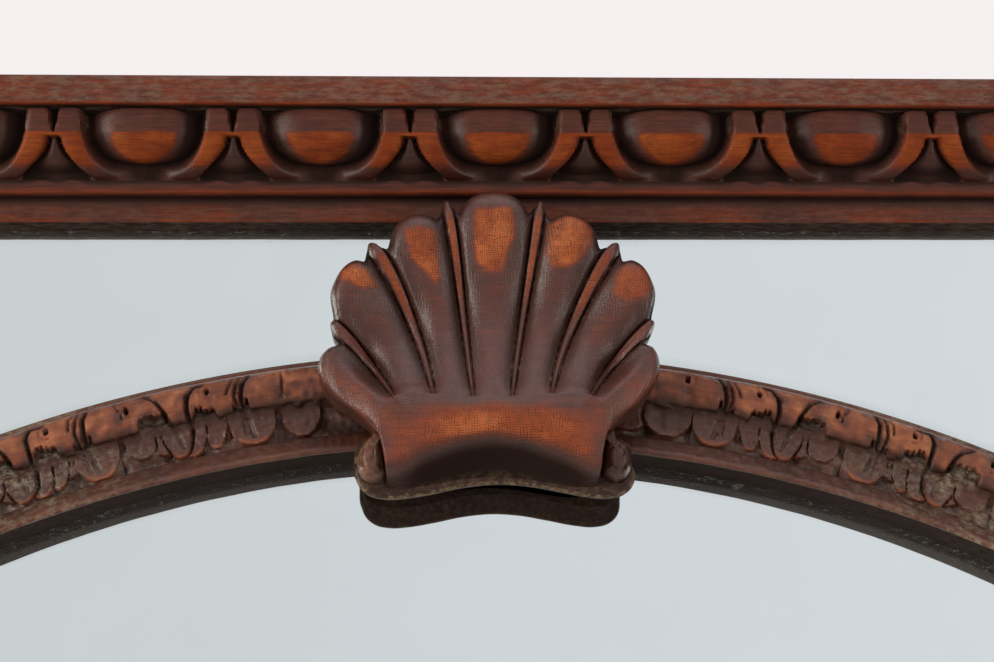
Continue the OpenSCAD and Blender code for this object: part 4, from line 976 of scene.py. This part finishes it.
def throughPoints(table, where):
    # a smooth curve through the rows of a table, whose first column says where each row stands
    knots, values = table[:, 0], table[:, 1:]
    slopes = np.gradient(values, knots, axis=0)
    i = np.clip(np.searchsorted(knots, where, side="right") - 1, 0, len(knots) - 2)
    width = knots[i + 1] - knots[i]
    t = ((where - knots[i]) / width)[..., None]
    leave, arrive = slopes[i] * width[..., None], slopes[i + 1] * width[..., None]
    start, end = (1 + 2 * t) * (1 - t) ** 2 * values[i], t * t * (3 - 2 * t) * values[i + 1]
    return start + t * (1 - t) ** 2 * leave + end + t * t * (t - 1) * arrive


def insideBy(x, z, corners):
    # how far a point lies inside an outline, less than 0 outside it
    inside = np.zeros(np.shape(x), bool)
    for (x0, z0), (x1, z1) in zip(corners, corners[1:] + corners[:1]):
        inside ^= ((z0 > z) != (z1 > z)) & (x < (x1 - x0) * (z - z0) / (z1 - z0 + 1e-9) + x0)
    return np.where(inside, 1, -1) * nearLine(x, z, corners + corners[:1])


def shellShift(z):
    # the whole shell leans a little to the left at its foot
    return -1.8 + 2.0 * smooth(712, 798, z)


def shellRub(x, z):
    # the rub at a place on the shell's front, from the worn patches
    ragged = 1.1 * wobble(x, z * 0.7, 17, 6) + 0.5 * wobble(x, z, 19, 2.5)
    shares = [0 * x]
    shares += [0.1 * smooth(-3.5, 3.0, insideBy(x, z, patch) + ragged) for patch in thinnedPatches]
    shares += [0.3 * smooth(-6.0, 5.0, insideBy(x, z, patch) + 2 * ragged) for patch in sCurves]
    shares += [rub * smooth(-1.6, 1.8, insideBy(x, z, patch) + ragged * 0.5) for rub, patch in rubbedPatches]
    return 0.12 + most(*shares)


def roundedEdge(rise, reach):
    # rolls the shell's outer edge over, reach mm in from it; also how near the edge is, from 0 to 1
    edge = 1 - np.clip(reach / shell["edgeRound"], 0, 1)
    return np.minimum(rise, shell["topRise"]) - shell["edgeRound"] * (1 - np.sqrt(1 - edge ** 2)), edge


def shellPiece():
    lobes = shell["lobes"]
    u = np.linspace(-lobes, lobes, 7 * shell["steps"] + 1)
    w, sign = np.abs(u), np.where(u < 0, -1.0, 1.0)
    hinge, rim = throughPoints(hingeLine, w), throughPoints(rimLine, w)
    direction = (rim - hinge) / np.linalg.norm(rim - hinge, axis=-1)[:, None]
    inwards = np.stack([-direction[:, 1], direction[:, 0]], -1)
    bow = np.interp(w, *bowLine)
    lift = 3.2 * smooth(2.1, 2.9, w)
    lip = 0.457 - 0.227 * smooth(0, lobes, w)
    footX = shell["footHalf"] * w / lobes
    footZ = np.interp(footX, *footLine)
    rows, marks = [], []
    for v in np.linspace(0, 1, shell["baseRows"]):
        z = footZ + (hinge[:, 1] - footZ) * v
        x = sign * (footX + (hinge[:, 0] - footX) * v ** 1.8) + shellShift(z)
        even = v ** (math.log(0.457) / np.log(lip))
        rise = throughPoints(baseLine, even)[:, 0] + lift * smooth(0.5, 1.0, v)
        rise, edge = roundedEdge(rise, (lobes - w) * (12.3 + 8 * v))
        rows.append(np.stack([x, rise, z], -1))
        uneven = wobble(x, z, 31, 16)
        # painted light with wear: the round face of the base, which looks forward and down, is painted
        # orange, brightest in the middle
        face = smooth(0.36, 0.58, even) * smooth(1.0, 0.68, even + 0.03 * uneven)
        bright = (0.5 + 0.45 * smooth(-36, -12, x) * smooth(44, 18, x)) * (0.92 + 0.12 * uneven)
        rub = most(shellRub(x, z), 0.12 + face * bright * smooth(lobes, 2.9, w))
        rub = most(rub * (0.4 + 0.6 * smooth(0.13, 0.45, even)), 0.5 * edge * smooth(0.19, 0.44, even))
        # painted shade: the cove under the base's lip is dark, less so at its ends
        dark = smooth(0.6, 0.26, even) * (1.0 - 0.3 * smooth(28, 43, np.abs(x)))
        marks.append(np.stack([rub, dark, 0.12 * smooth(0.12, 0.02, even) + 0 * w], -1))
    # across a lobe: t from the ridge before it, side from the nearer ridge; the last one is the ear
    number = np.minimum(3, np.floor(w + 0.5))
    t = w + 0.5 - number
    ear = number == 3
    side = np.where(ear, t, np.minimum(t, 1 - t))
    inLobe = side < 0.5
    footWide = layered(16.3, (number == 0, 15.8), (ear, 14.0))
    widening = layered(22.5, (number == 0, 25.8), (ear, 16.0))
    # painted shade: the side of a groove that faces right is painted darker than the side that faces left
    shaded = np.where((w - np.floor(w) < 0.5) == (sign > 0), 0.62, 0.42)
    earShape = smooth(0.1, 0.45, t)
    for k in np.linspace(0, 1, shell["fanRows"])[1:] ** 0.94:
        place = hinge + (rim - hinge) * k + inwards * (bow * 4 * k * (1 - k))[:, None]
        spread = footWide + widening * k
        away = side * spread
        half, depth, stand = [np.interp(k, *ridge[key]) for key in ("half", "depth", "stand")]
        outwards = np.clip((away - half) / np.maximum(spread * 0.5 - half, 0.1), 0, 1)
        roundness = 1.6 + 0.7 * smooth(0, 0.4, k)
        valley = -depth * (1 - np.sqrt(np.clip(1 - (1 - outwards) ** roundness, 0, 1)))
        bead = -depth + stand - 0.9 * np.clip(away / half, 0, 1.4) ** 2
        onRidge = smooth(half + 0.45, half - 0.05, away)
        crown, earRise = [throughPoints(line, k + 0 * w)[:, 0] for line in (crownLine, earLine)]
        rise = np.where(ear, earRise * earShape + (crown + lift * (1 - k)) * (1 - earShape),
                        crown + lift * (1 - smooth(0, 0.3, k)))
        rise, edge = roundedEdge(rise + valley * (1 - onRidge) + bead * onRidge, (lobes - w) * (20 + 40 * k))
        z = place[:, 1]
        tuck = np.where(sign > 0, 2.2, 0.0) * smooth(2.55, 2.95, w) * smooth(lobes, 3.2, w) * k
        x = sign * place[:, 0] + shellShift(z) - tuck
        # the wood stays over the screws' tips
        for screwX, screwZ in screwTips:
            fromTip = np.maximum(np.hypot(x - screwX, z - screwZ) - 2.4, 0)
            rise = most(rise, shell["screwTipRise"] - 0.8 * fromTip ** 2)
        rows.append(np.stack([x, rise, z], -1))
        groove = smooth(half + 1.9, half + 0.4, away) * (1 - onRidge) * smooth(0.0, 0.08, k) * inLobe
        ridgeRub = 0.16 + 0.55 * smooth(0.4, 0.62, k) * smooth(0.95, 0.86, k) * smooth(2.9, 1.8, w)
        # painted light: the left ear, on the side the light comes from, is painted a little more rubbed than
        # the right
        earRubAndLight = np.where(ear, np.where(sign < 0, 0.17, 0.12) + 0.12 * wobble(x, z, 43, 12), 0)
        footRub = 0.42 * smooth(0.4, 0.0, k) * smooth(2.75, 3.3, w)
        rub = most(shellRub(x, z), smooth(half * 0.9, half * 0.45, away) * ridgeRub,
                   earRubAndLight * smooth(2.5, 2.9, w), 0.5 * edge, footRub)
        # painted shade: the grooves beside the ridges and the lobes' hollows are darkened; the lobes also
        # darken towards the rim
        hollow = smooth(0.75, 0.1, outwards) * smooth(0.02, 0.22, k) * (1 - onRidge) * inLobe
        dark = most(groove * 0.97, hollow * shaded) + 0.4 * smooth(0.94, 0.985, k) * (1 - onRidge * 0.5)
        dustReach = 0.6 * smooth(0.85, 0.5, k) * smooth(0.02, 0.12, k)
        dust = groove * smooth(-0.3, 0.6, wobble(x, z, 37, 1.6)) * dustReach
        marks.append(np.stack([rub, np.clip(dark, 0, 1), dust], -1))
    rows, marks = np.array(rows), np.array(marks)
    rowCount, cols = rows.shape[:2]
    # the carver ran the base into the ears without a break
    near = np.exp(-((np.arange(rowCount) - shell["baseRows"]) / 16.0) ** 2)[:, None] * smooth(2.55, 2.9, w)
    rise = rows[:, :, 1]
    for turn in range(60):
        rise[1:-1] += 0.25 * near[1:-1] * (rise[2:] + rise[:-2] - 2 * rise[1:-1])
    index = np.arange(rowCount * cols).reshape(rowCount, cols)
    loop = np.concatenate([index[0, :], index[1:, -1], index[-1, -2::-1], index[-2:0:-1, 0]])
    return closedRelief("shell", rows.reshape(-1, 3), marks.reshape(-1, 3), gridFaces(rowCount, cols), loop)


def closedRelief(name, points, marks, faces, loop, extra=()):
    # a carved front, given as x, rise and z, with its edge carried straight back to the seat and closed there
    allPoints, allMarks, allFaces = [points], [marks], [faces]
    edge, previous, total = points[loop], loop, len(points)
    foot = smooth(712, 696, edge[:, 2])
    bevel = shell["footBevel"] * smooth(714, 690, edge[:, 2])
    for q in np.arange(1, shell["wallRows"] + 1) / shell["wallRows"]:
        ring = edge.copy()
        ring[:, 1] += (shell["backRise"] - edge[:, 1]) * q
        ring[:, 2] += bevel * max(0, q - 0.4) / 0.6
        # painted shade: the walls are darkened, most round the foot, whose underside faces down to the glass
        dark = 0.3 * smooth(1, 0.7, q) * (1 - foot) + 0.8 * foot
        dust = 0.12 + 0.45 * foot * smooth(0.3, 0.1, q)
        allPoints.append(ring)
        allMarks.append(np.column_stack([0.16 + 0 * foot, dark, dust]))
        now = total + np.arange(len(loop))
        allFaces.append(np.stack([previous, np.roll(previous, -1), np.roll(now, -1), now], -1))
        previous, total = now, total + len(loop)
    x, rise, z = np.concatenate(allPoints).T
    return reliefMesh(name, x, rise, z, np.concatenate(allMarks).T, np.concatenate(allFaces),
                      [*extra, previous[::-1].tolist()])


def roundedBlock(name, outline, centre, profile, mark, spiral=0.0):
    # a block with a rolled edge: an outline in mm, steps in from it with their rise, then in to the middle
    knots = np.array([*outline, outline[0]], float)
    length = np.r_[0, np.cumsum(np.linalg.norm(np.diff(knots, axis=0), axis=1))]
    count = max(48, int(length[-1] / 0.9))
    lengths = np.r_[length[-4:-1] - length[-1], length, length[1:4] + length[-1]]
    wrapped = np.column_stack([lengths, np.r_[knots[-4:-1], knots, knots[1:4]]])
    ring = throughPoints(wrapped, np.linspace(0, length[-1], count, endpoint=False))
    along = np.roll(ring, -1, 0) - np.roll(ring, 1, 0)
    along /= np.linalg.norm(along, axis=1)[:, None]
    normal = np.stack([-along[:, 1], along[:, 0]], -1)
    centre = np.array(centre)
    if ((centre - ring) * normal).sum() < 0:
        normal = -normal
    rings = [(ring + normal * step, rise) for step, rise in profile]
    inner, innerRise = rings[-1]
    rings += [(inner + (centre - inner) * q, innerRise) for q in (0.15, 0.3, 0.45, 0.6, 0.75, 0.88)]
    points, marks = [], []
    for i, (flat, rise) in enumerate(rings):
        offset = flat - centre
        turn = np.arctan2(offset[:, 1], offset[:, 0]) / (2 * math.pi)
        reach = np.linalg.norm(offset, axis=1) / np.linalg.norm(ring - centre, axis=1)
        line = smooth(0.16, 0.0, np.abs(((reach * 2.2 - turn) % 1) - 0.5)) * (reach < 0.86) * (reach > 0.15)
        swell = spiral * (4.0 * (1 - reach ** 2) - line)
        points.append(np.column_stack([flat[:, 0], rise + swell, flat[:, 1]]))
        # painted shade: a scroll is dark round its rolled edge and along its spiral; the slab has dust on its
        # edge
        dark = mark[1] + (0.9 * (i < 4) + 0.4 * line if spiral else 0)
        dust = mark[2] + (0 if spiral or i > 2 else 0.6) + 0.2 * wobble(*flat.T, 53, 4)
        shade = np.column_stack([mark[0] + 0.15 * wobble(*flat.T, 51, 7), dark + 0 * turn, dust])
        marks.append(np.clip(shade, 0, 1))
    middle = len(rings) * count
    points.append([[centre[0], points[-1][:, 1].mean(), centre[1]]])
    marks.append([mark])
    grid = np.arange(middle).reshape(len(rings), count)
    after = np.roll(grid, -1, 1)
    faces = np.stack([grid[:-1], after[:-1], after[1:], grid[1:]], -1).reshape(-1, 4)
    tip = [[int(a), int(b), middle] for a, b in zip(grid[-1], after[-1])]
    return closedRelief(name, np.concatenate(points), np.concatenate(marks), faces, grid[0][::-1], tip)


# the slab under the foot and the scrolls beside it: outline, middle, rolled edge and marks
slabEdge = [(0, 28.6), (0.2, 29.4), (0.6, 30.0), (1.2, 30.3), (2.2, 30.4)]
scrollEdge = [(0, 27.0), (0.9, 28.0), (1.5, 28.8), (1.75, 32.0), (2.2, 35.0), (3.0, 37.6), (4.2, 39.5),
              (5.6, 40.5)]
blocks = [("slab", [(0, 688.0), (-13, 686.8), (-27, 684.0), (-37, 682.4), (-45, 682.0), (-52, 683.6),
                    (-56, 687), (-57.8, 691), (-57.4, 695.5), (-52, 699), (-40, 699), (-20, 699), (0, 699),
                    (20, 699), (38, 699), (49.6, 699), (55.4, 696), (57.0, 691.4), (55.6, 686.6),
                    (51.6, 683.2), (45, 681.8), (36, 682.6), (25, 684.8), (12, 687.2)],
           (-0.5, 693.4), slabEdge, (0.12, 0.7, 0.12)),
          # the right scroll's dark mark is painted shade and the left scroll's dust a painted pale sheen, as
          # the light comes from the left
          ("left scroll", [(-46.5, 711), (-52.6, 708.4), (-57.2, 703.6), (-58.8, 697.4), (-57.8, 690.8),
                           (-53.4, 686.6), (-47.6, 686.2), (-43.8, 689.8), (-43.4, 698), (-44, 706)],
           (-51.6, 697), scrollEdge, (0.24, 0.0, 0.3), 0.4),
          ("right scroll", [(43, 710.5), (49.4, 707.6), (54.2, 703.8), (56.6, 698), (56.2, 691.4),
                            (52.6, 686.8), (46.6, 686.0), (41.8, 689.6), (40.8, 698), (41.2, 706)],
           (49.4, 697), scrollEdge, (0.24, 0.55, 0.0), 0.4)]
shellMesh = joinMeshes("shell", [shellPiece(), *[roundedBlock(*block) for block in blocks]])
grain = shellMesh.attributes.new("grain", "FLOAT_VECTOR", "POINT")
grain.data.foreach_set("vector", readRows(shellMesh.vertices, "co").ravel())
shellMesh.materials.append(shellWood)
addPiece("shell", shellMesh, "shell_crest")


# World, floor and lights

sky = {"wall": "#f6f0f0", "fill": "#b9b5b2", "left": "#d2d7d8", "right": "#dfe3e8", "below": "#cfcbc7",
       "horizon": -0.05, "strength": 1.0}
# each light's name, place, aim, size, power and colour
lights = [("left window", (-2.7, -1.7, 0.9), (0, 0, 0.65), (1.6, 1.8), 78, "#fff6ea"),
          ("ceiling light", (0.3, -1.5, 3.1), (0, 0, 0.6), (2.8, 1.6), 24, "#ffffff"),
          ("right fill", (2.6, -2.3, 0.6), (0, 0, 0.5), (1.4, 1.8), 35, "#fff2e4"),
          ("back fill", (0.6, 2.4, 1.6), (0, 0, 0), (1.8, 1.8), 40, "#ffffff")]

world = bpy.data.worlds.new("studio")
scene.world = world
world.use_nodes = True
world.node_tree.nodes.clear()
add = partial(addNode, world.node_tree)
direction = add("TexCoord").outputs["Generated"]
parts = add("SeparateXYZ", {0: direction}).outputs
low, high = sky["horizon"] - 0.02, sky["horizon"] + 0.02
height = add("MapRange", {0: parts["Z"], 1: low, 2: high}, interpolation_type="SMOOTHSTEP")
acrossRoom = add("MapRange", {0: parts["X"], 1: -0.45, 2: 0.45})
above = add("Mix", {0: acrossRoom, 6: sky["left"], 7: sky["right"]}, data_type="RGBA")
room = add("Mix", {0: height, 6: sky["below"], 7: above}, data_type="RGBA")
ray = add("LightPath").outputs
lit = add("Mix", {0: ray["Is Glossy Ray"], 6: sky["fill"], 7: room}, data_type="RGBA")
seen = add("Mix", {0: ray["Is Camera Ray"], 6: lit, 7: sky["wall"]}, data_type="RGBA")
glow = add("Background", {"Color": seen, "Strength": sky["strength"]})
add("OutputWorld", {"Surface": glow})

ground = {"radius": 2.4, "corners": 96, "height": -0.8725}
floorMesh = bpy.data.meshes.new("floor")
turns = np.linspace(0, 2 * math.pi, ground["corners"], endpoint=False)
radius = ground["radius"]
floorPoints = [(radius * math.cos(a), radius * math.sin(a), ground["height"]) for a in turns]
floorMesh.from_pydata(floorPoints, [], [list(range(ground["corners"]))])
floor = bpy.data.objects.new("floor", floorMesh)
scene.collection.objects.link(floor)
# a pale matt floor that only throws soft light up
floorMesh.materials.append(plainMaterial("pale floor", "#e4e0dc", 0.7, 0.0, 3, 0.01))

for name, place, aim, size, power, colour in lights:
    lamp = bpy.data.lights.new(name, "AREA")
    lamp.shape = "RECTANGLE"
    lamp.size, lamp.size_y = size
    lamp.energy = power
    lamp.color = toLinear(colour)[:3]
    holder = bpy.data.objects.new(name, lamp)
    holder.location = place
    holder.rotation_euler = (Vector(aim) - Vector(place)).to_track_quat("-Z", "Y").to_euler()
    scene.collection.objects.link(holder)
print("stage and lights set")
